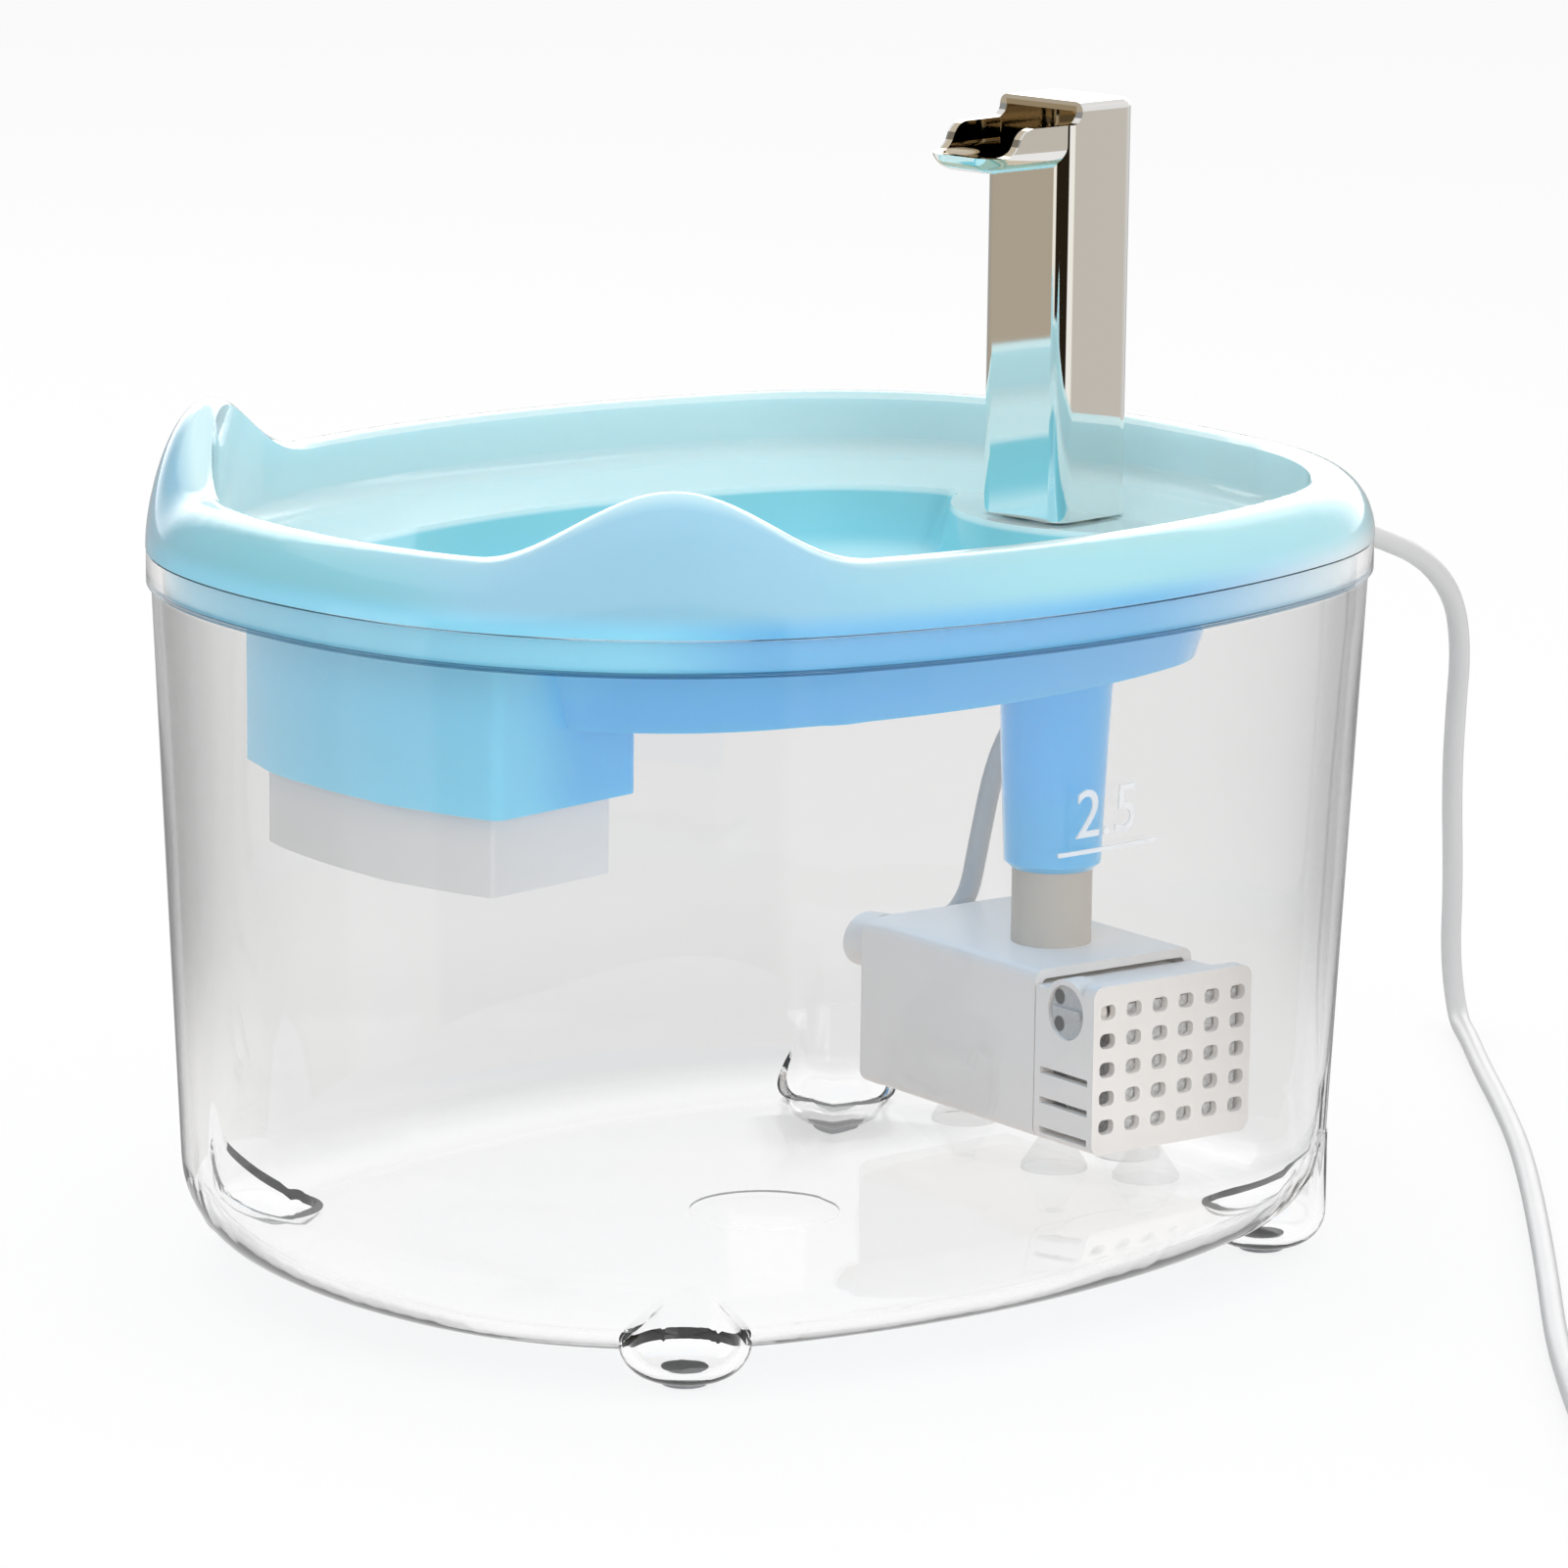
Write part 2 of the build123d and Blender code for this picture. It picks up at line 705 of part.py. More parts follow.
def well_outside():
    """Outside of the rotor well, with the nose that holds the rear bush."""
    nose_y = well_rear_y + bush_length + well_wall
    well = lying_cylinder(0, axis_z, chamber_rear_y, well_rear_y + well_wall, well_radius + well_wall)
    return well + lying_cylinder(0, axis_z, well_rear_y, nose_y, bush_radius + well_wall)


def make_pump_housing():
    """Moulded pump body: motor room open behind, rotor well, impeller chamber, inlet room and outlet."""
    body = box_between(-half_pump, half_pump, pump_front_y, pump_rear_y, pump_bottom_z, pump_top_z)
    body = fillet(body.edges().filter_by(Axis.Y), pump_round)
    body = fillet(body.edges().group_by(Axis.Y)[-1], pump_round / 2)
    motor_room = box_between(
        -half_pump + pump_wall,
        half_pump - pump_wall,
        chamber_rear_y + pump_wall,
        pump_rear_y,
        pump_bottom_z + pump_wall,
        pump_top_z - pump_wall,
    )
    body -= motor_room
    body += well_outside()
    body -= lying_cylinder(0, axis_z, chamber_rear_y - 1, well_rear_y, well_radius)
    body -= lying_cylinder(0, axis_z, well_rear_y, well_rear_y + bush_length, bush_radius)
    body -= lying_cylinder(0, axis_z, chamber_front_y, chamber_rear_y, chamber_radius)
    inlet = box_between(
        -half_pump + pump_wall,
        half_pump - pump_wall,
        pump_front_y,
        chamber_front_y,
        pump_bottom_z + pump_wall,
        pump_top_z - pump_wall,
    )
    body -= fillet(inlet.edges().filter_by(Axis.Y), pump_round / 2)
    body += cylinder_at(0, 0, pump_top_z - pump_wall, pump_top_z + stub_length, stub_radius)
    body -= cylinder_at(0, 0, axis_z, pump_top_z + stub_length, stub_bore)
    for x, y in cup_places:
        body -= cylinder_at(x, y, pump_bottom_z, pump_bottom_z + pump_wall, cup_neck)
    return body


def motor_core():
    """Laminated core: two legs beside the rotor well, joined by a yoke above it."""
    low = axis_z - well_radius
    high = pump_top_z - 2 * pump_wall - run_gap
    y0 = chamber_rear_y + 2 * pump_wall + core_end_gap
    y1 = well_rear_y - core_end_gap
    reach = well_radius + well_wall + run_gap
    core = box_between(-reach - core_leg, reach + core_leg, y0, y1, low, high)
    return core - box_between(-reach, reach, y0, y1, low, high - core_leg)


def motor_coil():
    """Winding on the far leg of the core."""
    reach = well_radius + well_wall + run_gap
    y0 = chamber_rear_y + 2 * pump_wall
    leg_low = axis_z - well_radius / 2
    coil_outer = half_pump - pump_wall - run_gap
    outer = box_between(reach + run_gap, coil_outer, y0, well_rear_y, leg_low, axis_z + coil_rise)
    return outer - motor_core()


def make_potting(core, coil):
    """Resin that fills the motor room round the well, the core and the winding."""
    block = box_between(
        -half_pump + pump_wall,
        half_pump - pump_wall,
        chamber_rear_y + pump_wall,
        pump_rear_y - pump_wall / 2,
        pump_bottom_z + pump_wall,
        pump_top_z - pump_wall,
    )
    block -= well_outside()
    block -= lying_cylinder(gland_x, gland_z, pump_rear_y - 3 * pump_wall, pump_rear_y, gland_radius / 2)
    return block - core - coil


def make_cap():
    """Grille cap: box open behind, with a holed front, slotted sides and the round recess of the dial."""
    cap = box_between(-half_pump, half_pump, cap_front_y, cap_back_y, pump_bottom_z, pump_top_z)
    cap = fillet(cap.edges().filter_by(Axis.Y), pump_round)
    step = box_between(-half_pump, half_pump, cap_front_y + 2 * cap_wall, cap_back_y, cap_top_z, pump_top_z)
    web = cap_back_y - cap_wall
    flange = half_pump - cap_flange
    tongue = half_pump - pump_wall - seat_gap
    room = box_between(
        -half_pump + cap_wall,
        half_pump - cap_wall,
        cap_inner_front,
        web,
        pump_bottom_z + cap_wall,
        cap_top_z - cap_wall,
    )
    sleeve_part = box_between(
        -tongue,
        tongue,
        web + cap_wall / 2,
        cap_back_y + cap_tongue,
        pump_bottom_z + pump_wall + seat_gap,
        cap_top_z - seat_gap,
    )
    passage = box_between(
        -flange,
        flange,
        web - cap_wall,
        cap_back_y + 2 * cap_tongue,
        pump_bottom_z + cap_flange,
        cap_top_z - cap_wall - cap_wall / 2,
    )
    cap = cap - step - room + fillet(sleeve_part.edges().filter_by(Axis.Y), pump_round) - passage
    at_dial = Pos(-half_pump, dial_y, dial_z) * Rot(0, 90, 0)
    pod = Pos(dial_recess, 0, 0) * at_dial * Cylinder(pod_radius, 2 * dial_recess)
    cap += pod & box_between(-half_pump, 0, cap_inner_front, web, pump_bottom_z, pump_top_z)
    cap -= at_dial * Cylinder(dial_radius + run_gap, 2 * dial_recess)
    cap -= at_dial * Cylinder(shaft_radius + run_gap, 8 * dial_recess)
    cap -= cylinder_at(0, cap_cup_y, pump_bottom_z, pump_bottom_z + cap_wall, cup_neck)
    for row in range(hole_rows):
        for column in range(hole_columns):
            x = (column - (hole_columns - 1) / 2) * hole_pitch_x
            z = hole_first_z + row * hole_pitch_z
            hole = Pos(x, cap_front_y + cap_wall / 2, z) * Box(hole_width, cap_wall, hole_height)
            cap -= fillet(hole.edges().filter_by(Axis.Y), hole_height * hole_round)
    for number in range(side_slots):
        z = side_slot_z + number * side_slot_pitch
        low = z - side_slot_height / 2
        cap -= box_between(-half_pump, half_pump, cap_inner_front, web, low, low + side_slot_height)
    return cap


def make_impeller():
    """Hub with straight blades on a round plate, bored for the shaft."""
    front = chamber_front_y + 2 * seat_gap
    rear = front + blade_width
    wheel = lying_cylinder(0, axis_z, rear, rear + blade_thickness, blade_radius)
    wheel += lying_cylinder(0, axis_z, front, magnet_rear_y - magnet_length, hub_radius)
    blade_low = axis_z - blade_thickness / 2
    blade = box_between(0, blade_radius, front, rear, blade_low, blade_low + blade_thickness)
    axis = Axis((0, 0, axis_z), (0, 1, 0))
    for number in range(blade_count):
        wheel += blade.rotate(axis, number * 360 / blade_count)
    return wheel - lying_cylinder(0, axis_z, front - 1, magnet_rear_y, shaft_radius + run_gap)


shaft_front_y = chamber_front_y - bush_length
core = motor_core()
coil = motor_coil()
write(at_pump * make_pump_housing(), "pump_housing")
write(at_pump * core, "motor_core")
write(at_pump * coil, "motor_coil")
write(at_pump * make_potting(core, coil), "motor_potting")
write(at_pump * make_cap(), "grille_cap")
write(at_pump * make_impeller(), "impeller")
magnet = lying_cylinder(0, axis_z, magnet_rear_y - magnet_length, magnet_rear_y, magnet_radius)
magnet -= lying_cylinder(0, axis_z, magnet_rear_y - magnet_length, magnet_rear_y, shaft_radius + run_gap)
write(at_pump * magnet, "rotor_magnet")
shaft = lying_cylinder(0, axis_z, shaft_front_y, well_rear_y + bush_length, shaft_radius)
write(at_pump * shaft, "impeller_shaft")


def make_bush(y0, y1, radius):
    """Rubber bush round one end of the shaft."""
    return lying_cylinder(0, axis_z, y0, y1, radius) - lying_cylinder(0, axis_z, y0, y1, shaft_radius)


def make_chamber_cover():
    """Plate in front of the impeller with inlet windows and a seat for the front bush."""
    plate = lying_cylinder(0, axis_z, chamber_front_y - pump_wall, chamber_front_y, cover_radius)
    for number in range(4):
        x, z = polar((0, axis_z), (bush_radius + chamber_radius) / 2, 45 + 90 * number)
        plate -= lying_cylinder(x, z, chamber_front_y - pump_wall, chamber_front_y, pump_wall)
    return plate - lying_cylinder(0, axis_z, chamber_front_y - pump_wall, chamber_front_y, bush_radius)


write(at_pump * make_bush(shaft_front_y, chamber_front_y, bush_radius), "front_bush")
write(at_pump * make_bush(well_rear_y, well_rear_y + bush_length, bush_radius), "rear_bush")
write(at_pump * make_chamber_cover(), "chamber_cover")
sponge_gap = 2 * seat_gap
sponge = box_between(
    -half_pump + cap_wall + 2 * dial_recess,
    half_pump - cap_wall - sponge_gap,
    cap_inner_front + seat_gap,
    cap_back_y - cap_wall - seat_gap,
    pump_bottom_z + cap_wall + seat_gap,
    cap_top_z - cap_wall - seat_gap,
)
write(at_pump * sponge, "inlet_sponge")


def make_dial():
    """Flow dial in the cap's side, with a finger bar and a short spindle."""
    back_x = -half_pump + dial_recess - run_gap
    disc = Pos(back_x - dial_thickness / 2, 0, 0) * Rot(0, 90, 0) * Cylinder(dial_radius, dial_thickness)
    bar = Pos(-half_pump + dial_recess / 2, 0, 0) * Box(dial_recess, 1.5 * dial_radius, dial_thickness)
    bar &= box_between(-half_pump, back_x, -dial_radius, dial_radius, -dial_radius, dial_radius)
    spindle = Pos(back_x + dial_recess / 2, 0, 0) * Rot(0, 90, 0) * Cylinder(shaft_radius, dial_recess)
    return Pos(0, dial_y, dial_z) * (disc + bar + spindle)


write(at_pump * make_dial(), "flow_dial")


def make_cup(x, y, low, holder_wall):
    """Suction cup: a hollow bell that stands at a height, and a neck held in the plate above it."""
    bell_top = pump_bottom_z - seat_gap
    profile = Polyline(
        (0, bell_top),
        (0, low + cup_hollow),
        (cup_radius - cup_edge, low),
        (cup_radius, low),
        (cup_radius, low + cup_edge),
        (cup_top_radius, bell_top - cup_edge),
        (cup_top_radius, bell_top),
        close=True,
    )
    bell = revolve(Plane.XZ * make_face(profile), axis=Axis.Z)
    neck = cylinder_at(0, 0, bell_top, pump_bottom_z + holder_wall, cup_neck)
    return Pos(x, y, 0) * (bell + neck)


for number, (x, y) in enumerate(cup_places, 1):
    write(at_pump * make_cup(x, y, floor_z, pump_wall), f"suction_cup_{number}")
cap_cup = make_cup(0, cap_cup_y, floor_z + seat_gap, cap_wall)
write(at_pump * cap_cup, f"suction_cup_{len(cup_places) + 1}")

sleeve_top_z = pipe_bottom_z + sleeve_depth - seat_gap
sleeve = cylinder_at(pipe_x, 0, pump_top_z, sleeve_top_z, sleeve_radius)
sleeve -= cylinder_at(pipe_x, 0, pump_top_z, pump_top_z + stub_length, stub_radius + run_gap)
sleeve -= cylinder_at(pipe_x, 0, pump_top_z, sleeve_top_z, stub_bore)
write(sleeve, "outlet_sleeve")
gland = lying_cylinder(gland_x, gland_z, pump_rear_y, pump_rear_y + gland_length, gland_radius)
gland = fillet(gland.edges().group_by(Axis.Y)[-1], gland_radius / 3)
gland += lying_cylinder(gland_x, gland_z, pump_rear_y - 3 * pump_wall, pump_rear_y, gland_radius / 2)
arm_y = pump_rear_y + gland_length / 2
arm = Rot(0, 90, 0) * Cylinder(gland_arm_radius, gland_arm_reach)
gland += Pos(gland_x + gland_arm_reach / 2, arm_y, gland_z) * arm
write(at_pump * gland, "cord_gland")


# power cord -----------------------------------------------------------------------------------------


def pump_point(x, y, z):
    """Point given in the pump's own axes."""
    return tuple((at_pump * Pos(x, y, z)).position)


arm_end_x = gland_x + gland_arm_reach
cord_points = [
    Vector(*point)
    for point in [
        pump_point(arm_end_x, arm_y, gland_z),
        pump_point(arm_end_x + cord_start_run, arm_y, gland_z),
        *[(half_length + x, y, z) for x, y, z in cord_way],
    ]
]


def arc_radii(points):
    """Radius of the bend at each inner point, from the shorter run beside it and half the turn."""
    runs = [after - before for before, after in zip(points, points[1:])]
    radii = []
    for before, after in zip(runs, runs[1:]):
        half_turn = math.radians(before.get_angle(after)) / 2
        radii.append(arc_share * min(before.length, after.length) / math.tan(half_turn))
    print("cord runs", [round(run.length, 1) for run in runs])
    print("cord turns", [round(before.get_angle(after), 1) for before, after in zip(runs, runs[1:])])
    print("cord radii", [round(radius, 1) for radius in radii])
    return radii


def tube(points, radii, radius):
    """Round tube along straight runs joined by tangent arcs."""
    path = FilletPolyline(*points, radius=radii)
    profile = Plane(origin=points[0], z_dir=points[1] - points[0]) * Circle(radius)
    solid = sweep(profile, path=path)
    print("cord volume", round(solid.volume), "section x length", round(math.pi * radius**2 * path.length))
    return solid


coil_at = Pos(*coil_centre, 0)
coil_ring = Plane.XZ * Pos(coil_mid_radius, coil_half_height) * Ellipse(coil_half_width, coil_half_height)
coil_pack = coil_at * revolve(coil_ring, axis=Axis.Z)
write(tube(cord_points, arc_radii(cord_points), cord_radius) - coil_pack, "power_cord")
write(coil_pack, "cord_coil")

plug_z = plug_thickness / 2
tail_x, tail_y = polar(coil_centre, coil_mid_radius, tail_bearing)
at_tail = Pos(tail_x, tail_y, plug_z) * Rot(0, 0, tail_bearing + 90)
tail_buried = math.sqrt((coil_mid_radius + coil_half_width) ** 2 - coil_mid_radius**2)
boot_start = tail_buried + tail_free
shell_start = boot_start + boot_length
contact_start = shell_start + plug_length


def along_tail(start, length, shape):
    """Shape drawn round its middle, set along the plug's axis from a start."""
    return at_tail * Pos(start + length / 2, 0, 0) * shape


tail = along_tail(0, boot_start, Rot(0, 90, 0) * Cylinder(cord_radius, boot_start)) - coil_pack
boot_cone = Cone(boot_radius * boot_taper, boot_radius, boot_length)
boot = along_tail(boot_start, boot_length, Rot(0, 90, 0) * boot_cone)
plug_body = Box(plug_length, plug_width, plug_thickness)
plug_body = fillet(plug_body.edges().filter_by(Axis.X), plug_round)
contact = Box(contact_length, contact_width, contact_thickness)
write(tail, "plug_lead")
write(boot, "plug_boot")
write(along_tail(shell_start, plug_length, plug_body), "plug_shell")
write(along_tail(contact_start, contact_length, contact), "plug_contact")
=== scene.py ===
import json
import math

import bmesh
import bpy
from mathutils import Matrix, Vector
from mathutils.bvhtree import BVHTree


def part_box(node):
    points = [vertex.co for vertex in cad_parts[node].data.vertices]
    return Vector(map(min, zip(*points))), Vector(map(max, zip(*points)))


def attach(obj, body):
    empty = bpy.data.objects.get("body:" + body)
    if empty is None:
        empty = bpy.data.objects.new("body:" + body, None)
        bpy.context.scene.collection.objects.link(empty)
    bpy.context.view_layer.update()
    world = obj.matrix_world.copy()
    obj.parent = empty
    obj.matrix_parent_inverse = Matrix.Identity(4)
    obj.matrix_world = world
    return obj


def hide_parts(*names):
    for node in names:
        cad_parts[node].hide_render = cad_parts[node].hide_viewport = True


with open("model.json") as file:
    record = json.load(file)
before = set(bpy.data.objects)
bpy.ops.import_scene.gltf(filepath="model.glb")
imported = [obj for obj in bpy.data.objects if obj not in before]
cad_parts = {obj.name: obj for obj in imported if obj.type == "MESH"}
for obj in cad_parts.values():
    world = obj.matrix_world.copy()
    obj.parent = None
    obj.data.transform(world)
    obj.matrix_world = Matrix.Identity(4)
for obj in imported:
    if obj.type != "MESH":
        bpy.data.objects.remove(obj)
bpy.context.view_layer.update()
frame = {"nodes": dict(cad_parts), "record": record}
scene = bpy.context.scene
scene.view_settings.view_transform = "Standard"
mm = 0.001


def added(name, data):
    piece = bpy.data.objects.new(name, data)
    scene.collection.objects.link(piece)
    return piece


def aimed(place, towards):
    turn = Vector(towards).to_track_quat("-Z", "Y").to_matrix().to_4x4()
    return Matrix.Translation(place) @ turn


def dimmed(colour, share):
    return tuple(share * c for c in colour)


view = {
    "place": (-0.8886, -1.0145, 0.3655),
    "towards": (0.648445, 0.734175, -0.201261),
    "roll": 0.012,  # radians
    "lens": 171.85,
}


def placeCamera():
    lens = bpy.data.cameras.new("view")
    lens.lens = view["lens"]
    lens.sensor_width = 36
    lens.clip_end = 20
    eye = added("view", lens)
    eye.matrix_world = aimed(view["place"], view["towards"]) @ Matrix.Rotation(view["roll"], 4, "Z")
    scene.camera = eye


placeCamera()
print("camera placed")


cordLook = {
    "radius": 2.1,
    "clearance": 0.1,  # between the lowest strand and the floor
    "coilCentre": (28.6, -229.6),
    "coilStart": 148.0,  # bearing where the cord comes in
    "coilRadii": (27.7, 23.5, 19.3),
    "strandStep": 4.2,
    "pointsPerTurn": 16,
    "tailBearing": 228.6,
    "tailRuns": (9, 18, 25, 31),
    "plugHeight": 4.0,
}
cordWay = [  # millimetres, from the pump's gland over the tank's edge and along the floor
    (74.468, 39.883, 43.0),
    (82.438, 39.186, 43.0),
    (91.0, 39.6, 46.8),
    (95.0, 41.0, 58.0),
    (96.5, 37.5, 77.0),
    (97.8, 27.0, 95.0),
    (98.3, 12.0, 110.0),
    (99.5, 2.0, 122.0),
    (109.6, 0.0, 132.4),
    (126.0, -0.4, 129.6),
    (143.0, -1.5, 124.5),
    (160.5, -2.0, 118.0),
    (177.5, 1.7, 112.0),
    (192.0, 6.5, 102.0),
    (201.0, 12.5, 89.0),
    (209.0, 21.0, 74.0),
    (218.0, 30.0, 56.0),
    (231.0, 41.0, 31.0),
    (236.0, 46.0, 14.0),
    (231.0, 38.5, 2.3),
    (222.0, 27.0, 2.3),
    (204.0, 6.0, 2.3),
    (186.0, -16.0, 2.3),
    (164.0, -42.0, 2.3),
    (136.0, -72.0, 2.3),
    (97.0, -112.0, 2.3),
    (65.0, -144.0, 2.3),
    (40.0, -171.5, 2.3),
    (19.0, -196.0, 2.3),
]


def coilPoints():
    # each mark: turns made, radius and height of the strand there
    low = cordLook["radius"] + cordLook["clearance"]
    step = cordLook["strandStep"]
    outer, middle, inner = cordLook["coilRadii"]
    marks = [
        (0.0, outer, low),
        (0.75, outer, low),
        (1.0, middle, low),
        (1.75, middle, low),
        (2.0, inner, low),
        (2.45, inner, low),
        (2.7, inner, low + step),
        (3.75, inner, low + step),
        (4.0, middle, low + step),
        (4.75, middle, low + step),
        (5.0, outer, low + step),
        (5.45, outer, low + step),
        (5.7, outer, low + 2 * step),
        (5.95, middle, low + 2 * step),
        (6.9, middle, low + 2 * step),
    ]
    start = cordLook["coilStart"]
    count = cordLook["pointsPerTurn"]
    grow = 1 / (0.75 + 0.25 * math.cos(2 * math.pi / count))  # the curve runs inside its points
    end = (cordLook["tailBearing"] - start) / 360 + 6
    points = []
    for number in range(1, int(end * count) + 1):
        turns = number / count
        for (t0, r0, z0), (t1, r1, z1) in zip(marks, marks[1:]):
            if t0 <= turns <= t1:
                part = (turns - t0) / (t1 - t0)
                radius = (r0 + (r1 - r0) * part) * grow
                height = z0 + (z1 - z0) * part
                break
        bearing = math.radians(start + 360 * turns)
        x, y = cordLook["coilCentre"]
        points.append((x + radius * math.cos(bearing), y + radius * math.sin(bearing), height))
    return points


def tailPoints():
    # off the top of the coil and down to the plug
    bearing = math.radians(cordLook["tailBearing"])
    x, y = cordLook["coilCentre"]
    x += cordLook["coilRadii"][1] * math.cos(bearing)
    y += cordLook["coilRadii"][1] * math.sin(bearing)
    along = Vector((-math.sin(bearing), math.cos(bearing), 0))
    top = cordLook["radius"] + cordLook["clearance"] + 2 * cordLook["strandStep"]
    base = cordLook["plugHeight"]
    heights = (top, top - 1, base, base)
    runs = zip(cordLook["tailRuns"], heights)
    return [Vector((x, y, 0)) + along * run + Vector((0, 0, z)) for run, z in runs]


def makeCord():
    route = bpy.data.curves.new("powerCord", "CURVE")
    route.dimensions = "3D"
    line = route.splines.new("NURBS")
    points = cordWay + coilPoints() + tailPoints()
    line.points.add(len(points) - 1)
    for spot, point in zip(line.points, points):
        spot.co = (point[0] * mm, point[1] * mm, point[2] * mm, 1)
        spot.radius = cordLook["radius"] * mm
    line.order_u = 3
    line.use_endpoint_u = True
    route.resolution_u = 6
    route.bevel_depth = 1.0
    route.bevel_resolution = 5
    route.use_fill_caps = True
    cord = added("powerCord", route)
    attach(cord, "base")
    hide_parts("power_cord", "cord_coil", "plug_lead")
    return cord


powerCord = makeCord()
print("cord laid")


class Flow:
    def __init__(self, finish, socket):
        self.finish = finish
        self.socket = socket

    def maths(self, operation, *values):
        return self.finish.node("ShaderNodeMath", {"operation": operation}, dict(enumerate(values)))

    def __add__(self, other):
        return self.maths("ADD", self, other)

    def __radd__(self, other):
        return self.maths("ADD", other, self)

    def __sub__(self, other):
        return self.maths("SUBTRACT", self, other)

    def __rsub__(self, other):
        return self.maths("SUBTRACT", other, self)

    def __mul__(self, other):
        return self.maths("MULTIPLY", self, other)

    def __rmul__(self, other):
        return self.maths("MULTIPLY", other, self)

    def __truediv__(self, other):
        return self.maths("DIVIDE", self, other)

    def __pow__(self, other):
        return self.maths("POWER", self, other)

    def __abs__(self):
        return self.maths("ABSOLUTE", self)

    def __gt__(self, other):
        return self.maths("GREATER_THAN", self, other)

    def near(self, value, margin):
        return self.maths("COMPARE", self, value, margin)

    def clamped(self):
        return self.finish.node("ShaderNodeClamp", {}, {0: self})


class Finish:
    def __init__(self, name, world=None):
        self.owner = world or bpy.data.materials.new(name)
        self.owner.use_nodes = True
        self.tree = self.owner.node_tree
        self.tree.nodes.clear()
        kind = "ShaderNodeOutputWorld" if world else "ShaderNodeOutputMaterial"
        self.output = self.tree.nodes.new(kind)

    def feed(self, socket, value):
        if isinstance(value, Flow):
            self.tree.links.new(value.socket, socket)
        elif hasattr(value, "__len__") and len(value) == 3 and len(socket.default_value) == 4:
            socket.default_value = (*value, 1)
        else:
            socket.default_value = value

    def node(self, kind, settings, sockets, out=0):
        node = self.tree.nodes.new(kind)
        for name, value in settings.items():
            if name == "stops":
                self.stops(node.color_ramp, value)
            else:
                setattr(node, name, value)
        for name, value in sockets.items():
            self.feed(node.inputs[name], value)
        return Flow(self, node.outputs[out])

    def stops(self, ramp, stops):
        while len(ramp.elements) < len(stops):
            ramp.elements.new(0.5)
        for element, (place, colour) in zip(ramp.elements, stops):
            element.position = place
            element.color = (*colour, 1)

    def place(self):
        return self.node("ShaderNodeTexCoord", {}, {}, out="Object")

    def stretched(self, scale):
        return self.node("ShaderNodeMapping", {}, {"Vector": self.place(), "Scale": scale})

    def normal(self):
        return self.node("ShaderNodeNewGeometry", {}, {}, out="Normal")

    def axis(self, vector, name):
        return self.node("ShaderNodeSeparateXYZ", {}, {0: vector}, out=name)

    def ramp(self, stops, share):
        return self.node("ShaderNodeValToRGB", {"stops": stops}, {0: share})

    def noise(self, scale, detail=3.0, roughness=0.5):
        sockets = {"Vector": self.place(), "Scale": scale, "Detail": detail, "Roughness": roughness}
        return self.node("ShaderNodeTexNoise", {}, sockets)

    def between(self, factor, first, second):
        sockets = {0: factor, 6: first, 7: second}
        return self.node("ShaderNodeMix", {"data_type": "RGBA"}, sockets, out=2)

    def ease(self, flow, low, high):
        settings = {"interpolation_type": "SMOOTHSTEP"}
        return self.node("ShaderNodeMapRange", settings, {0: flow, 1: low, 2: high})

    def rise(self, heights):
        # 0 below the first height and 1 above the second, in metres
        return self.ease(self.axis(self.place(), "Z"), *heights)

    def bump(self, height, strength, distance):
        sockets = {"Height": height, "Strength": strength, "Distance": distance}
        return self.node("ShaderNodeBump", {}, sockets)

    def skin(self, sockets):
        return self.node("ShaderNodeBsdfPrincipled", {}, sockets)

    def light(self, name):
        return self.node("ShaderNodeLightPath", {}, {}, out=name)

    def mixed(self, factor, first, second):
        return self.node("ShaderNodeMixShader", {}, {0: factor, 1: first, 2: second})

    def lettingLightThrough(self, skin, colour):
        passing = self.node("ShaderNodeBsdfTransparent", {}, {"Color": colour})
        return self.mixed(self.light("Is Shadow Ray"), skin, passing)

    def finish(self, shader):
        self.tree.links.new(shader.socket, self.output.inputs["Surface"])
        return self.owner


clearTintAndShade = {
    "top": 0.14,  # height at the ramps' end
    "near": [
        (0.0, (1, 1, 1)),
        (0.32, (1, 1, 1)),
        (0.50, (0.93, 0.93, 0.93)),
        (0.72, (0.90, 0.90, 0.90)),
        (0.912, (0.90, 0.90, 0.90)),
        (0.922, (1, 1, 1)),
    ],
    # painted shade: the far wall is tinted darker grey low down
    "far": [
        (0.05, (1, 1, 1)),
        (0.09, (0.79, 0.79, 0.79)),
        (0.16, (0.80, 0.80, 0.80)),
        (0.33, (0.87, 0.87, 0.87)),
    ],
    "farWay": (0.66, 0.75),  # towards the far wall, along X and Y
    "farStart": (-0.01, 0.03),
    # painted shade: darker grey where the wall is seen edge on
    "edge": (0.30, 0.30, 0.31),
    "edgeTurn": (0.30, 0.97),
    "edgeFoot": (0.028, 0.07),
    "bandFoot": (0.1275, 0.1285),
    # painted shade: a thin dark line at the band's foot
    "seam": (0.1286, 0.0004),  # height and half width
    "seamPaintedShade": (0.16, 0.25, 0.33),
    "lightThrough": (0.97, 0.97, 0.97),
}


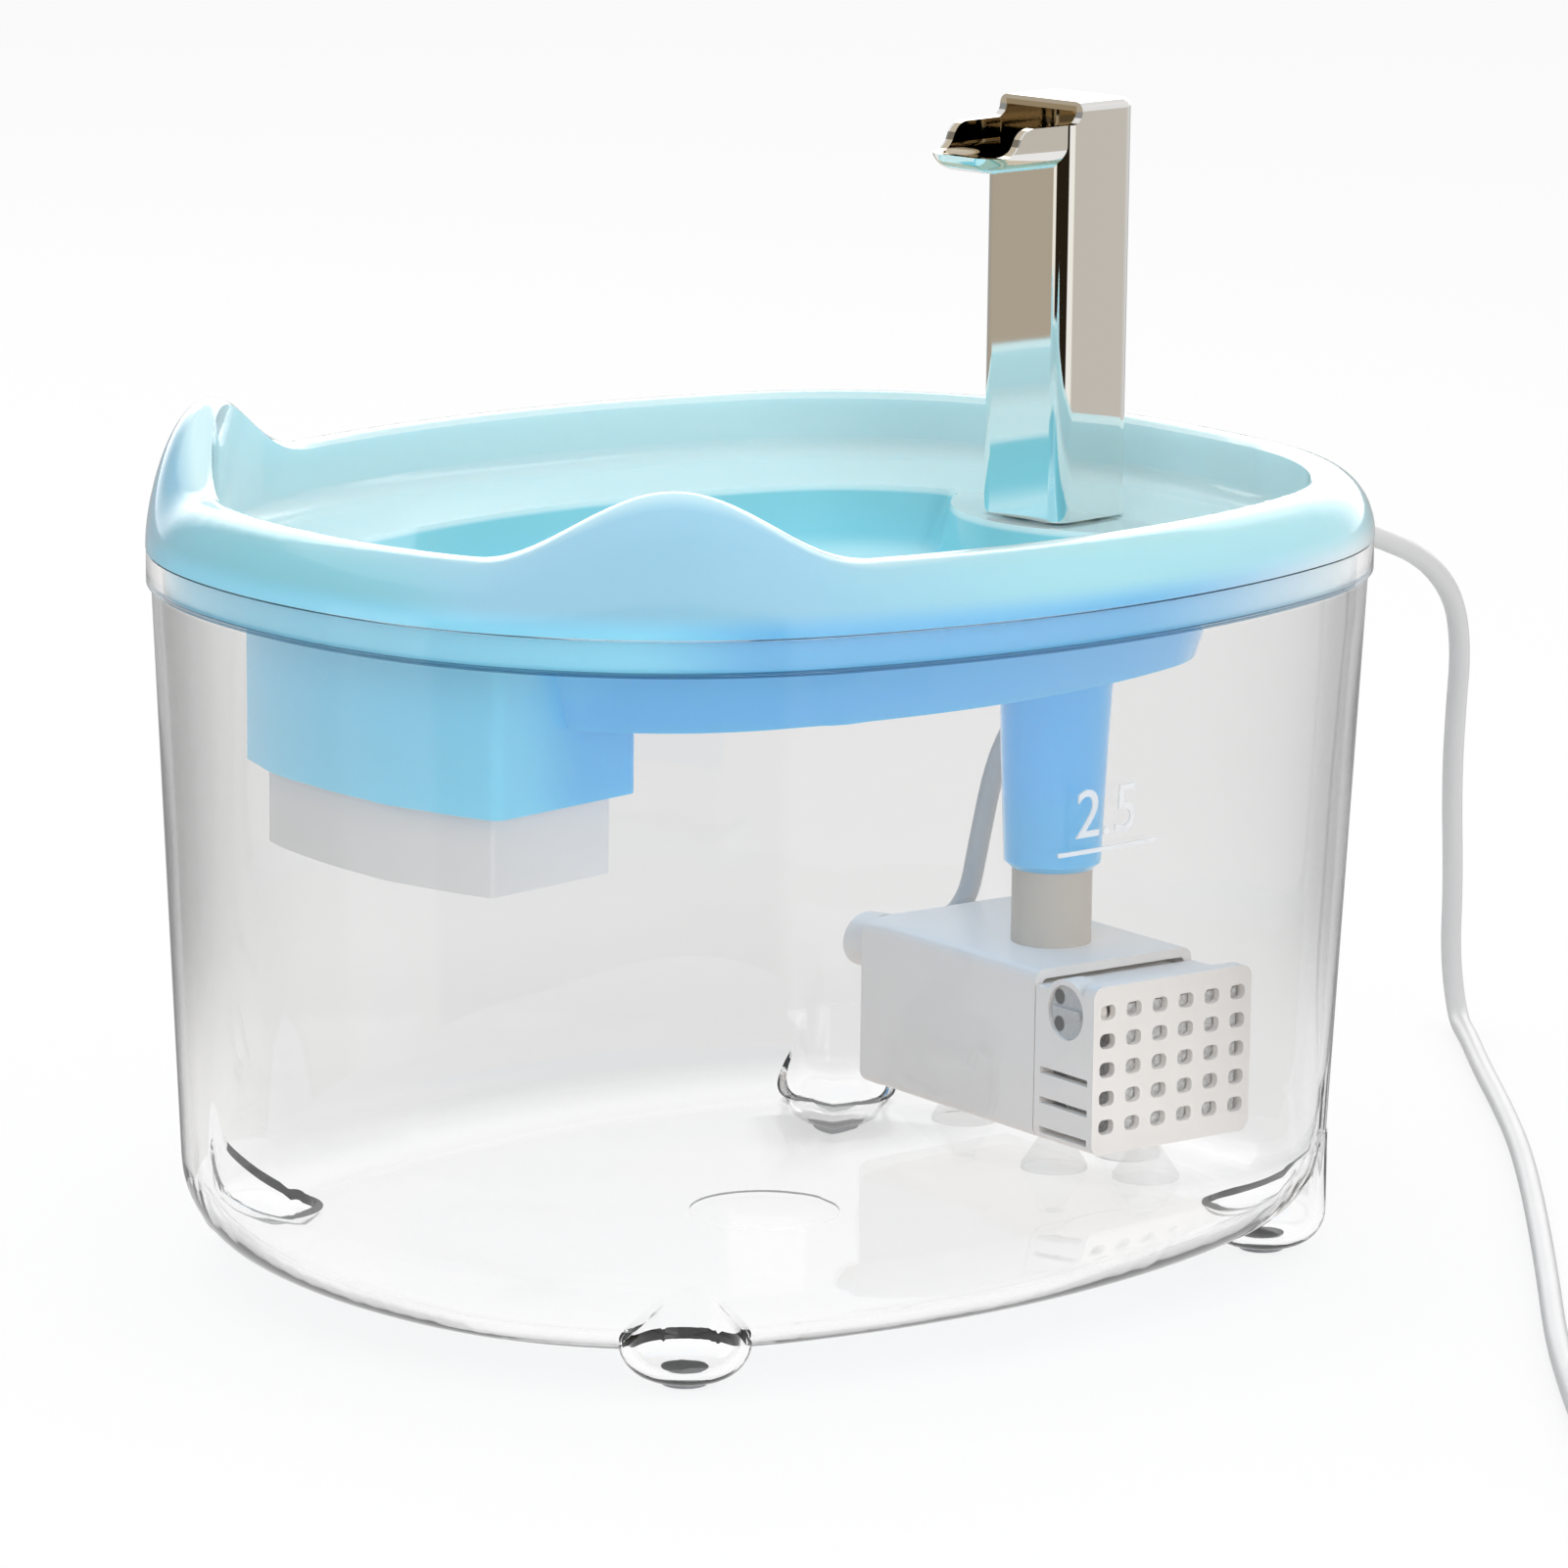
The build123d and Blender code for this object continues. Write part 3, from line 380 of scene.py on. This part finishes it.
def clearPlastic():
    # a grey cast, partly the plastic's own tint and partly painted shade, deepest low on the far
    # wall; a painted dark line under the band; and painted darker edges
    look = Finish("clearPlastic")
    height = look.axis(look.place(), "Z")
    alongX, alongY = clearTintAndShade["farWay"]
    farther = alongX * look.axis(look.place(), "X") + alongY * look.axis(look.place(), "Y")
    start, end = clearTintAndShade["farStart"]
    farSide = look.node("ShaderNodeMapRange", {}, {0: farther, 1: start, 2: end})
    share = height / clearTintAndShade["top"]
    turned = look.node("ShaderNodeLayerWeight", {}, {"Blend": 0.5}, out="Facing")
    edge = look.ease(turned, *clearTintAndShade["edgeTurn"]) * (1 - look.rise(clearTintAndShade["bandFoot"]))
    tint = look.between(
        farSide,
        look.ramp(clearTintAndShade["near"], share),
        look.ramp(clearTintAndShade["far"], share),
    )
    # painted shade: the wall turns darker grey where it is seen edge on
    tint = look.between(edge * look.rise(clearTintAndShade["edgeFoot"]), tint, clearTintAndShade["edge"])
    # painted shade: the thin dark line under the band
    tint = look.between(height.near(*clearTintAndShade["seam"]), tint, clearTintAndShade["seamPaintedShade"])
    skin = look.skin(
        {
            "Base Color": tint,
            "Roughness": 0.0,
            "IOR": 1.38,
            "Transmission Weight": 1.0,
            "Normal": look.bump(look.noise(22.0, 1.0), 0.25, 0.0006),
        }
    )
    return look.finish(look.lettingLightThrough(skin, clearTintAndShade["lightThrough"]))


blueColoursAndShading = {
    # painted shade: the deeper blue below the rim
    "deep": (0.145, 0.47, 0.84),
    # painted light: the housing is lighter at its -X end
    "housing": (0.27, 0.72, 1.0),
    "housingEnd": (-0.087, -0.066),  # along X
    # painted reflection: the band turns pale towards +X
    "bandEndPaintedReflection": (0.80, 0.93, 0.97),
    "bandFade": (0.0, 0.085),  # along X
    "bandFoot": (0.1275, 0.1285),
    "rim": (0.36, 0.67, 0.73),
    "rimFoot": (0.1345, 0.140),
    # painted shade: the rim is darker and bluer near the ears
    "rimShadeAtEar": (0.30, 0.555, 0.70),
    "earFade": (0.02, 0.09),  # distance from an ear
    # painted shade: the rim is darker at its -X end
    "rimEndShade": (0.25, 0.58, 0.66),
    "rimEndFade": (-0.113, -0.100),  # along X
    "ear": (-86.0, 68.0),
    "cloud": (0.22, 0.53, 0.74),
    "cloudShare": 0.15,
    # painted light: the paler ledge and basin
    "ledge": (0.58, 0.80, 0.85),
    "ledgeFoot": (0.1295, 0.1305),
    "basin": (104.0, 87.0),  # half sizes of the paler part, millimetres
    "basinPower": 2.5,
    "basinFade": (1.04, 12.0),
    # painted light on the bowl's floor and painted shade on its walls
    "bowlFloorLight": (0.44, 0.74, 0.79),
    "bowl": (0.23, 0.61, 0.70),
    "bowlCentre": (0.0, 0.0, 0.16),
    "bowlFacing": 0.004,
    "bowlFoot": (0.1155, 0.1165),
    "bowlWall": (0.1175, 0.1225),
    "bowlTop": (0.1295, 0.1315),
    # painted glow: the tray's lower parts give off a faint blue light of their own
    "paintedGlow": (0.14, 0.56, 0.95),
    "glowTop": (0.115, 0.131),
    "lightThrough": (0.96, 0.95, 0.94),
}


def blueColour(look):
    # painted shade and painted light on one blue plastic: deeper blue below the rim, and paler in
    # the basin and bowl inside it
    x, y = look.axis(look.place(), "X"), look.axis(look.place(), "Y")
    halfX, halfY = (half * mm for half in blueColoursAndShading["basin"])
    power = blueColoursAndShading["basinPower"]
    reach = abs(x / halfX) ** power + abs(y / halfY) ** power
    limit, slope = blueColoursAndShading["basinFade"]
    basin = ((limit - reach) * slope).clamped() * look.rise(blueColoursAndShading["ledgeFoot"])
    vectors = {0: blueColoursAndShading["bowlCentre"], 1: look.place()}
    towards = look.node("ShaderNodeVectorMath", {"operation": "SUBTRACT"}, vectors)
    vectors = {0: look.normal(), 1: towards}
    facing = look.node("ShaderNodeVectorMath", {"operation": "DOT_PRODUCT"}, vectors, out="Value")
    bowl = (facing > blueColoursAndShading["bowlFacing"]) * look.rise(blueColoursAndShading["bowlFoot"])
    earX, earY = blueColoursAndShading["ear"]
    fromEar = ((x - earX * mm) ** 2.0 + (abs(y) - earY * mm) ** 2.0) ** 0.5
    # painted shade on the rim near the ears and at its -X end
    earShare = look.ease(fromEar, *blueColoursAndShading["earFade"])
    rim = look.between(earShare, blueColoursAndShading["rimShadeAtEar"], blueColoursAndShading["rim"])
    rim = look.between(look.ease(x, *blueColoursAndShading["rimEndFade"]), blueColoursAndShading["rimEndShade"], rim)
    past = look.ease(x, *blueColoursAndShading["housingEnd"])
    deep = look.between(past, blueColoursAndShading["housing"], blueColoursAndShading["deep"])
    band = look.between(look.ease(x, *blueColoursAndShading["bandFade"]), deep, blueColoursAndShading["bandEndPaintedReflection"])
    colour = look.between(look.rise(blueColoursAndShading["bandFoot"]), deep, band)
    colour = look.between(look.rise(blueColoursAndShading["rimFoot"]), colour, rim)
    cloud = look.noise(9.0, 2.0) * blueColoursAndShading["cloudShare"]
    colour = look.between(cloud, colour, blueColoursAndShading["cloud"])
    # painted light on the bowl's floor and painted shade on its walls
    wall = look.rise(blueColoursAndShading["bowlWall"])
    hollow = look.between(wall, blueColoursAndShading["bowlFloorLight"], blueColoursAndShading["bowl"])
    colour = look.between(bowl * (1 - look.rise(blueColoursAndShading["bowlTop"])), colour, hollow)
    return look.between(basin, colour, blueColoursAndShading["ledge"])


def bluePlastic():
    look = Finish("bluePlastic")
    # painted glow: the tray's lower parts give off a faint blue light of their own
    paintedGlow = look.between(look.rise(blueColoursAndShading["glowTop"]), blueColoursAndShading["paintedGlow"], (0, 0, 0))
    skin = look.skin(
        {
            "Base Color": blueColour(look),
            "Roughness": 0.14 + 0.05 * look.noise(45.0, 3.0),
            "IOR": 1.5,
            "Subsurface Weight": 0.35,
            "Subsurface Radius": (0.004, 0.007, 0.009),
            "Subsurface Scale": 1.0,
            "Coat Weight": 0.8,
            "Coat Roughness": 0.04,
            "Emission Color": paintedGlow,
            "Emission Strength": 0.14,
            "Normal": look.bump(look.noise(900.0, 2.0), 0.03, 0.0002),
        }
    )
    return look.finish(look.lettingLightThrough(skin, blueColoursAndShading["lightThrough"]))


faucetPlatingAndShade = {
    "turn": 4.0,  # degrees
    "centre": 76.0,
    "outside": (0.90, 0.89, 0.87),
    # painted shade and reflection: brown inside the trough and the post
    "inside": (0.64, 0.56, 0.43),
    "rooms": [  # along, across and up from the downpipe's axis, millimetres
        ((-29.0, -6.9), (-8.9, 8.9), (199.0, 209.6)),
        ((-6.9, 7.2), (-9.5, 9.5), (120.0, 209.5)),
    ],
}


def chromePlating():
    # bright outside, and a painted brown shade and reflection where the trough and the post's
    # inside mirror each other
    look = Finish("chromePlating")
    turn = math.radians(faucetPlatingAndShade["turn"])
    across = look.axis(look.place(), "X") - faucetPlatingAndShade["centre"] * mm
    along = look.axis(look.place(), "Y")
    depth = across * math.cos(turn) + along * math.sin(turn)
    width = along * math.cos(turn) - across * math.sin(turn)
    height = look.axis(look.place(), "Z")
    inside = 0
    for box in faucetPlatingAndShade["rooms"]:
        room = 1
        for flow, (low, high) in zip((depth, width, height), box):
            room = room * flow.near((low + high) / 2 * mm, (high - low) / 2 * mm)
        inside = inside + room
    colour = look.between(inside.clamped(), faucetPlatingAndShade["outside"], faucetPlatingAndShade["inside"])
    skin = look.skin(
        {
            "Base Color": colour,
            "Metallic": 1.0,
            "Roughness": 0.02 + 0.04 * look.noise(60.0, 4.0),
            "Normal": look.bump(look.noise(35.0, 1.0), 0.06, 0.0004),
        }
    )
    return look.finish(skin)


def plainPlastic(name, colour, roughness, grainScale=1400.0, grain=0.12, paintedTopLight=None):
    look = Finish(name)
    shade = look.between(look.noise(30.0, 4.0) * 0.5, colour, dimmed(colour, 0.93))
    # painted light: faces turned upward get the lighter colour
    if paintedTopLight:
        upward = look.axis(look.normal(), "Z")
        shade = look.between(look.ease(upward, 0.6, 0.9), shade, paintedTopLight)
    skin = look.skin(
        {
            "Base Color": shade,
            "Roughness": roughness - 0.06 + 0.12 * look.noise(80.0, 3.0),
            "IOR": 1.48,
            "Normal": look.bump(look.noise(grainScale, 2.0), grain, 0.0002),
        }
    )
    return look.finish(skin)


def cellular(name, colour, deep, scale, depth):
    # foam, granules and sponge: round cells with darker joints
    look = Finish(name)
    sockets = {"Vector": look.place(), "Scale": scale}
    cells = look.node("ShaderNodeTexVoronoi", {}, sockets, out="Distance")
    skin = look.skin(
        {
            "Base Color": look.between(cells.clamped(), colour, deep),
            "Roughness": 0.8 + 0.15 * look.noise(200.0, 2.0),
            "Normal": look.bump(1 - cells, 0.9, depth),
        }
    )
    return look.finish(skin)


def fibres(name, colour):
    look = Finish(name)
    way = look.stretched((1.0, 0.25, 1.0))
    sockets = {"Vector": way, "Scale": 1800.0, "Detail": 4.0, "Distortion": 2.0}
    strands = look.node("ShaderNodeTexNoise", {}, sockets)
    skin = look.skin(
        {
            "Base Color": look.between(strands, dimmed(colour, 0.82), colour),
            "Roughness": 0.9,
            "Normal": look.bump(strands, 0.8, 0.0004),
        }
    )
    return look.finish(skin)


def metal(name, colour, roughness, scratch):
    look = Finish(name)
    way = look.stretched((1.0, 1.0, 0.08))
    lines = look.node("ShaderNodeTexNoise", {}, {"Vector": way, "Scale": 2400.0, "Detail": 3.0})
    skin = look.skin(
        {
            "Base Color": look.between(lines * 0.4, colour, dimmed(colour, 0.8)),
            "Metallic": 1.0,
            "Roughness": roughness + 0.1 * lines,
            "Normal": look.bump(lines, scratch, 0.0001),
        }
    )
    return look.finish(skin)


def windings(name, colour):
    # lacquered wire, turn beside turn, with painted shade darkening the grooves between turns
    look = Finish(name)
    sockets = {"Vector": look.place(), "Scale": 900.0, "Distortion": 0.4, "Detail": 1.0}
    turns = look.node("ShaderNodeTexWave", {"bands_direction": "Z"}, sockets, out="Fac")
    skin = look.skin(
        {
            "Base Color": look.between(turns, dimmed(colour, 0.45), colour),
            "Metallic": 0.8,
            "Roughness": 0.3,
            "Coat Weight": 0.6,
            "Normal": look.bump(turns, 0.7, 0.0003),
        }
    )
    return look.finish(skin)


def clearSoft(name, colour, clearness):
    # soft clear rubber of the suction cups: mostly see-through, with soft edges darkened by painted
    # shade where seen edge on
    look = Finish(name)
    edge = look.node("ShaderNodeLayerWeight", {}, {"Blend": 0.35}, out="Facing")
    skin = look.skin(
        {
            "Base Color": look.between(edge, colour, dimmed(colour, 0.72)),
            "Roughness": 0.18 + 0.08 * look.noise(60.0, 2.0),
            "IOR": 1.42,
            "Alpha": clearness,
            "Coat Weight": 0.5,
        }
    )
    return look.finish(skin)


def reliefPlastic():
    # the tank's raised level mark, a little frosted, and painted near white as a highlight on the
    # raised clear plastic
    look = Finish("levelRelief")
    colour = look.between(look.noise(300.0, 2.0), (0.93, 0.94, 0.95), (0.80, 0.82, 0.84))
    skin = look.skin({"Base Color": colour, "Roughness": 0.18, "Alpha": 0.6, "Coat Weight": 1.0})
    return look.finish(skin)


dialMarks = {
    "centre": [(low + high) / 2 for low, high in zip(*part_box("flow_dial"))],
    "out": 2.6,  # along and up from the dial's centre, millimetres
    "radius": 1.25,
    "soft": 0.5,
    "turn": -5.0,  # degrees
    "colour": (0.08, 0.08, 0.08),
    "speckle": ((0.40, 0.40, 0.40), (0.66, 0.66, 0.66)),
}


def dialPlastic():
    # grey dial with two dark round spots
    look = Finish("dialPlastic")
    turn = math.radians(dialMarks["turn"])
    x, y, z = dialMarks["centre"]
    out = dialMarks["out"] * mm
    alongY = (look.axis(look.place(), "Y") - y) * math.cos(turn)
    alongX = (look.axis(look.place(), "X") - x) * math.sin(turn)
    along = alongY - alongX - out
    up = look.axis(look.place(), "Z") - z
    inner = dialMarks["radius"] * mm
    outer = inner + dialMarks["soft"] * mm
    marks = 0
    for side in (-1, 1):
        away = (along**2.0 + (up - side * out) ** 2.0) ** 0.5
        marks = marks + (1 - look.ease(away, inner, outer))
    speckle = look.noise(1500.0, 3.0)
    colour = look.between(speckle, *dialMarks["speckle"])
    skin = look.skin(
        {
            "Base Color": look.between(marks.clamped(), colour, dialMarks["colour"]),
            "Roughness": 0.42 + 0.1 * speckle,
            "Normal": look.bump(speckle, 0.25, 0.0003),
        }
    )
    return look.finish(skin)


finishes = {
    "clear_plastic": clearPlastic(),
    "blue_plastic": bluePlastic(),
    "chrome_plating": chromePlating(),
    "pump_plastic": plainPlastic(
        "pumpPlastic", (0.89, 0.845, 0.805), 0.36, paintedTopLight=(1.0, 0.97, 0.94)
    ),
    "white_plastic": plainPlastic("whitePlastic", (0.88, 0.88, 0.885), 0.40),
    "cord_jacket": plainPlastic("cordJacket", (0.63, 0.63, 0.63), 0.34, 700.0, 0.05),
    # the pads under the feet are dark rubber, and their darkness partly stands in for the contact
    # shadow under each foot
    "pad_rubber": plainPlastic("padRubberAndContactShade", (0.30, 0.31, 0.32), 0.6),
    "black_rubber": plainPlastic("blackRubber", (0.02, 0.02, 0.02), 0.6),
    "clear_rubber": clearSoft("clearRubber", (0.96, 0.96, 0.96), 0.2),
    "filter_foam": cellular(
        "filterFoam", (0.20, 0.24, 0.29), (0.07, 0.09, 0.12), 700.0, 0.0008
    ),
    "filter_granules": cellular(
        "filterGranules", (0.07, 0.07, 0.07), (0.008, 0.008, 0.008), 480.0, 0.0012
    ),
    "fibre_pad": fibres("fibrePad", (0.88, 0.88, 0.87)),
    "core_steel": metal("coreSteel", (0.42, 0.42, 0.43), 0.45, 0.4),
    "copper_wire": windings("copperWire", (0.86, 0.42, 0.20)),
    "potting_resin": plainPlastic("pottingResin", (0.84, 0.84, 0.83), 0.30, 300.0, 0.05),
    "inlet_sponge": cellular(
        "inletSponge", (0.80, 0.80, 0.79), (0.45, 0.45, 0.44), 900.0, 0.0007
    ),
    "ferrite": plainPlastic("ferrite", (0.05, 0.05, 0.055), 0.45, 1800.0, 0.3),
    "shaft_steel": metal("shaftSteel", (0.72, 0.72, 0.72), 0.18, 0.15),
    "plug_plastic": plainPlastic("plugPlastic", (0.80, 0.80, 0.80), 0.4),
    "plug_metal": metal("plugMetal", (0.72, 0.72, 0.70), 0.15, 0.1),
}
nodeFinishes = {
    "flow_dial": dialPlastic(),
    "outlet_sleeve": plainPlastic("sleeveRubber", (0.60, 0.54, 0.47), 0.5, 500.0, 0.06),
}


levelMark = {
    "figure": "2.5",  # litres, plain number
    "size": 12.4,
    "start": -6.6,
    "foot": 94.3,
    "line": (-10.0, 13.5, 91.3, 92.1),
    "lineSteps": 12,
    "raised": 0.35,
    "off": 0.03,  # between the figure's back and the wall
    "castFrom": -300.0,
}


def figureShape():
    # flat figure and line, as they stand on the wall seen from the front
    letters = bpy.data.curves.new("levelFigure", "FONT")
    letters.body = levelMark["figure"]
    letters.size = levelMark["size"]
    letters.resolution_u = 5
    holder = added("levelFigure", letters)
    mesh = bpy.data.meshes.new_from_object(holder)
    bpy.data.objects.remove(holder)
    shape = bmesh.new()
    shape.from_mesh(mesh)
    for vert in shape.verts:
        vert.co = Vector((vert.co.x + levelMark["start"], 0, vert.co.y + levelMark["foot"]))
    first, last, low, high = levelMark["line"]
    count = levelMark["lineSteps"]
    row = [first + (last - first) * n / count for n in range(count + 1)]
    lower = [shape.verts.new((x, 0, low)) for x in row]
    upper = [shape.verts.new((x, 0, high)) for x in row]
    for n in range(count):
        shape.faces.new((lower[n], lower[n + 1], upper[n + 1], upper[n]))
    shape.normal_update()
    return mesh, shape


def makeLevelMark():
    # raised figure and line that follow the tank's wall
    mesh, shape = figureShape()
    tank = frame["nodes"]["tank"]
    wall = BVHTree.FromPolygons(
        [v.co[:] for v in tank.data.vertices],
        [tuple(f.vertices) for f in tank.data.polygons],
    )
    for vert in shape.verts:
        start = Vector((vert.co.x, levelMark["castFrom"], vert.co.z)) * mm
        spot = wall.ray_cast(start, Vector((0, 1, 0)))[0]
        vert.co = spot + Vector((0, -levelMark["off"] * mm, 0))
    raised = bmesh.ops.extrude_face_region(shape, geom=shape.faces[:])
    for vert in raised["geom"]:
        if isinstance(vert, bmesh.types.BMVert):
            vert.co.y -= levelMark["raised"] * mm
    bmesh.ops.recalc_face_normals(shape, faces=shape.faces[:])
    shape.to_mesh(mesh)
    mark = added("levelMark", mesh)
    mesh.materials.clear()
    mesh.materials.append(reliefPlastic())
    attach(mark, "base")


weld = {
    "distance": 0.02,
    "sharpFrom": 28,  # degrees
}


def makeClearTank():
    # the tank's walls welded into one skin, so that they bend light without breaks
    tank = frame["nodes"]["tank"]
    shape = bmesh.new()
    shape.from_mesh(tank.data)
    bmesh.ops.remove_doubles(shape, verts=shape.verts[:], dist=weld["distance"] * mm)
    for face in shape.faces:
        face.smooth = True
    for edge in shape.edges:
        turn = edge.calc_face_angle(0)
        edge.smooth = edge.is_manifold and turn < math.radians(weld["sharpFrom"])
    mesh = bpy.data.meshes.new("clearTank")
    shape.to_mesh(mesh)
    piece = added("clearTank", mesh)
    mesh.materials.append(finishes["clear_plastic"])
    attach(piece, "base")
    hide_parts("tank")


coilTie = {
    "bearing": 52.0,
    "width": 4.5,
    "thickness": 0.7,
    # radius and height round the strands
    "hull": [(16.8, 0.75), (16.8, 8.2), (20.6, 12.9), (26.4, 12.9), (30.2, 8.2), (30.2, 0.75)],
    "middle": (23.5, 6.5),
    "lowest": 0.05,
}


def rounded(points, rounds):
    # each corner cut twice over gives a soft closed line
    for _ in range(rounds):
        cut = []
        for a, b in zip(points, points[1:] + points[:1]):
            for share in (0.75, 0.25):
                cut.append(tuple(share * p + (1 - share) * q for p, q in zip(a, b)))
        points = cut
    return points


def makeCoilTie():
    # soft strap round the coil's strands
    bearing = math.radians(coilTie["bearing"])
    out = Vector((math.cos(bearing), math.sin(bearing), 0))
    along = Vector((-math.sin(bearing), math.cos(bearing), 0))
    centre = Vector((*cordLook["coilCentre"], 0))
    hull = rounded(coilTie["hull"], 3)
    middle = Vector(coilTie["middle"])
    shape = bmesh.new()
    rings = []
    for side in (-0.5, 0.5):
        for grow in (0.0, coilTie["thickness"]):
            ring = []
            for r, z in hull:
                away = (Vector((r, z)) - middle).normalized() * grow
                up = max(z + away.y, coilTie["lowest"])
                place = centre + out * (r + away.x) + along * side * coilTie["width"]
                ring.append(shape.verts.new((place + Vector((0, 0, up))) * mm))
            rings.append(ring)
    inLow, outLow, inHigh, outHigh = rings
    bands = ((inLow, inHigh), (inHigh, outHigh), (outHigh, outLow), (outLow, inLow))
    for n in range(len(hull)):
        m = (n + 1) % len(hull)
        for first, second in bands:
            shape.faces.new((first[n], first[m], second[m], second[n]))
    bmesh.ops.recalc_face_normals(shape, faces=shape.faces[:])
    for face in shape.faces:
        face.smooth = True
    mesh = bpy.data.meshes.new("coilTie")
    shape.to_mesh(mesh)
    tie = added("coilTie", mesh)
    mesh.materials.append(finishes["black_rubber"])
    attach(tie, "base")


def dressNodes():
    slots = {part["node"]: part["material_slot"] for part in frame["record"]["subparts"]}
    for name, node in frame["nodes"].items():
        node.data.materials.clear()
        node.data.materials.append(nodeFinishes.get(name, finishes[slots[name]]))
    powerCord.data.materials.append(finishes["cord_jacket"])


makeClearTank()
makeLevelMark()
makeCoilTie()
dressNodes()
print("finishes set")


studio = {
    "floorSize": 12.0,
    "floorDrop": 0.2,
    "floorShare": 0.80,
    "paper": (0.92, 0.92, 0.92),
    "worldStrength": 0.80,
    "lampTarget": (0.0, 0.0, 0.1),
}


def makeFloor():
    half = studio["floorSize"] / 2
    mesh = bpy.data.meshes.new("floor")
    corners = [(-half, -half, 0), (half, -half, 0), (half, half, 0), (-half, half, 0)]
    mesh.from_pydata(corners, [], [(0, 1, 2, 3)])
    floor = added("floor", mesh)
    floor.location.z = -studio["floorDrop"] * mm
    look = Finish("floorPaper")
    lit = look.node("ShaderNodeBsdfDiffuse", {}, {"Color": studio["paper"]})
    white = look.node("ShaderNodeEmission", {}, {"Color": (1, 1, 1), "Strength": 1.0})
    direct = look.light("Is Camera Ray") * studio["floorShare"]
    seen = (direct + look.light("Is Transmission Ray")).clamped()
    mesh.materials.append(look.finish(look.mixed(seen, lit, white)))
    floor.visible_glossy = False


wallCards = {
    "radius": 2.6,
    "sides": 96,
    "strength": 2.0,
    "heights": {"under": (-2.6, -0.75), "low": (-0.75, 0.2), "high": (0.2, 2.2)},
    # shares of a turn from -X through -Y and +X, with half the brightness seen there
    "under": [(0.0, (0.42, 0.42, 0.42)), (0.5, (0.45, 0.45, 0.45))],
    "low": [
        (0.0, (0.010, 0.007, 0.004)),
        (0.222, (0.010, 0.007, 0.004)),
        (0.232, (0.46, 0.45, 0.43)),
        (0.330, (0.46, 0.45, 0.42)),
        (0.375, (0.27, 0.25, 0.22)),
        (0.50, (0.36, 0.36, 0.36)),
        (0.56, (0.22, 0.22, 0.22)),
        (0.70, (0.22, 0.22, 0.22)),
        (0.75, (0.18, 0.17, 0.15)),
        (0.86, (0.22, 0.19, 0.148)),
        (0.900, (0.22, 0.19, 0.148)),
        (0.910, (0.46, 0.44, 0.40)),
        (0.970, (0.46, 0.44, 0.40)),
        (0.978, (0.010, 0.007, 0.004)),
    ],
    "high": [
        (0.0, (0.34, 0.34, 0.34)),
        (0.14, (0.26, 0.26, 0.26)),
        (0.30, (0.36, 0.36, 0.36)),
        (0.50, (0.45, 0.45, 0.45)),
        (0.57, (1.20, 1.20, 1.20)),
        (0.70, (1.20, 1.20, 1.20)),
        (0.75, (0.14, 0.14, 0.14)),
        (0.94, (0.14, 0.14, 0.14)),
        (1.0, (0.34, 0.34, 0.34)),
    ],
}


def makeReflectedWall(name, heights):
    # a round wall that only reflections see
    radius, count = wallCards["radius"], wallCards["sides"]
    mesh = bpy.data.meshes.new(name + "Wall")
    turns = [2 * math.pi * number / count for number in range(count)]
    points = [(radius * math.cos(t), radius * math.sin(t), z) for z in heights for t in turns]
    faces = [(n, (n + 1) % count, count + (n + 1) % count, count + n) for n in range(count)]
    mesh.from_pydata(points, [], faces)
    wall = added(name + "Wall", mesh)
    for ray in ("camera", "diffuse", "transmission", "volume_scatter", "shadow"):
        setattr(wall, "visible_" + ray, False)
    look = Finish(name + "Cards")
    y = look.axis(look.place(), "Y")
    turn = y.maths("ARCTAN2", y, look.axis(look.place(), "X"))
    colours = look.ramp(wallCards[name], (turn / math.pi + 1.0) * 0.5)
    sockets = {"Color": colours, "Strength": wallCards["strength"]}
    mesh.materials.append(look.finish(look.node("ShaderNodeEmission", {}, sockets)))


def makeWorld():
    world = bpy.data.worlds.new("studio")
    scene.world = world
    look = Finish("studio", world)
    white, strength = (1, 1, 1), studio["worldStrength"]
    lit = look.node("ShaderNodeBackground", {}, {"Color": white, "Strength": strength})
    seen = look.node("ShaderNodeBackground", {}, {"Color": white, "Strength": 1.0})
    camera = look.light("Is Camera Ray")
    either = camera.maths("MAXIMUM", camera, look.light("Is Transmission Ray"))
    look.finish(look.mixed(either, lit, seen))


lamps = {  # place, size and watts
    "keyLamp": ((-0.9, -0.5, 1.3), 0.9, 3.0),
    "fillLamp": ((-0.3, -1.6, 0.55), 0.9, 6.0),
    "backLamp": ((0.3, 1.3, 1.2), 0.9, 3.6),
    "topLamp": ((0.1, 0.0, 1.5), 0.8, 3.3),
}


def makeLamps():
    for name, (place, size, watts) in lamps.items():
        lamp = bpy.data.lights.new(name, "AREA")
        lamp.size = size
        lamp.energy = watts
        holder = added(name, lamp)
        holder.visible_glossy = False
        holder.matrix_world = aimed(place, Vector(studio["lampTarget"]) - Vector(place))


makeFloor()
for name, heights in wallCards["heights"].items():
    makeReflectedWall(name, heights)
makeWorld()
makeLamps()
print("studio lit")
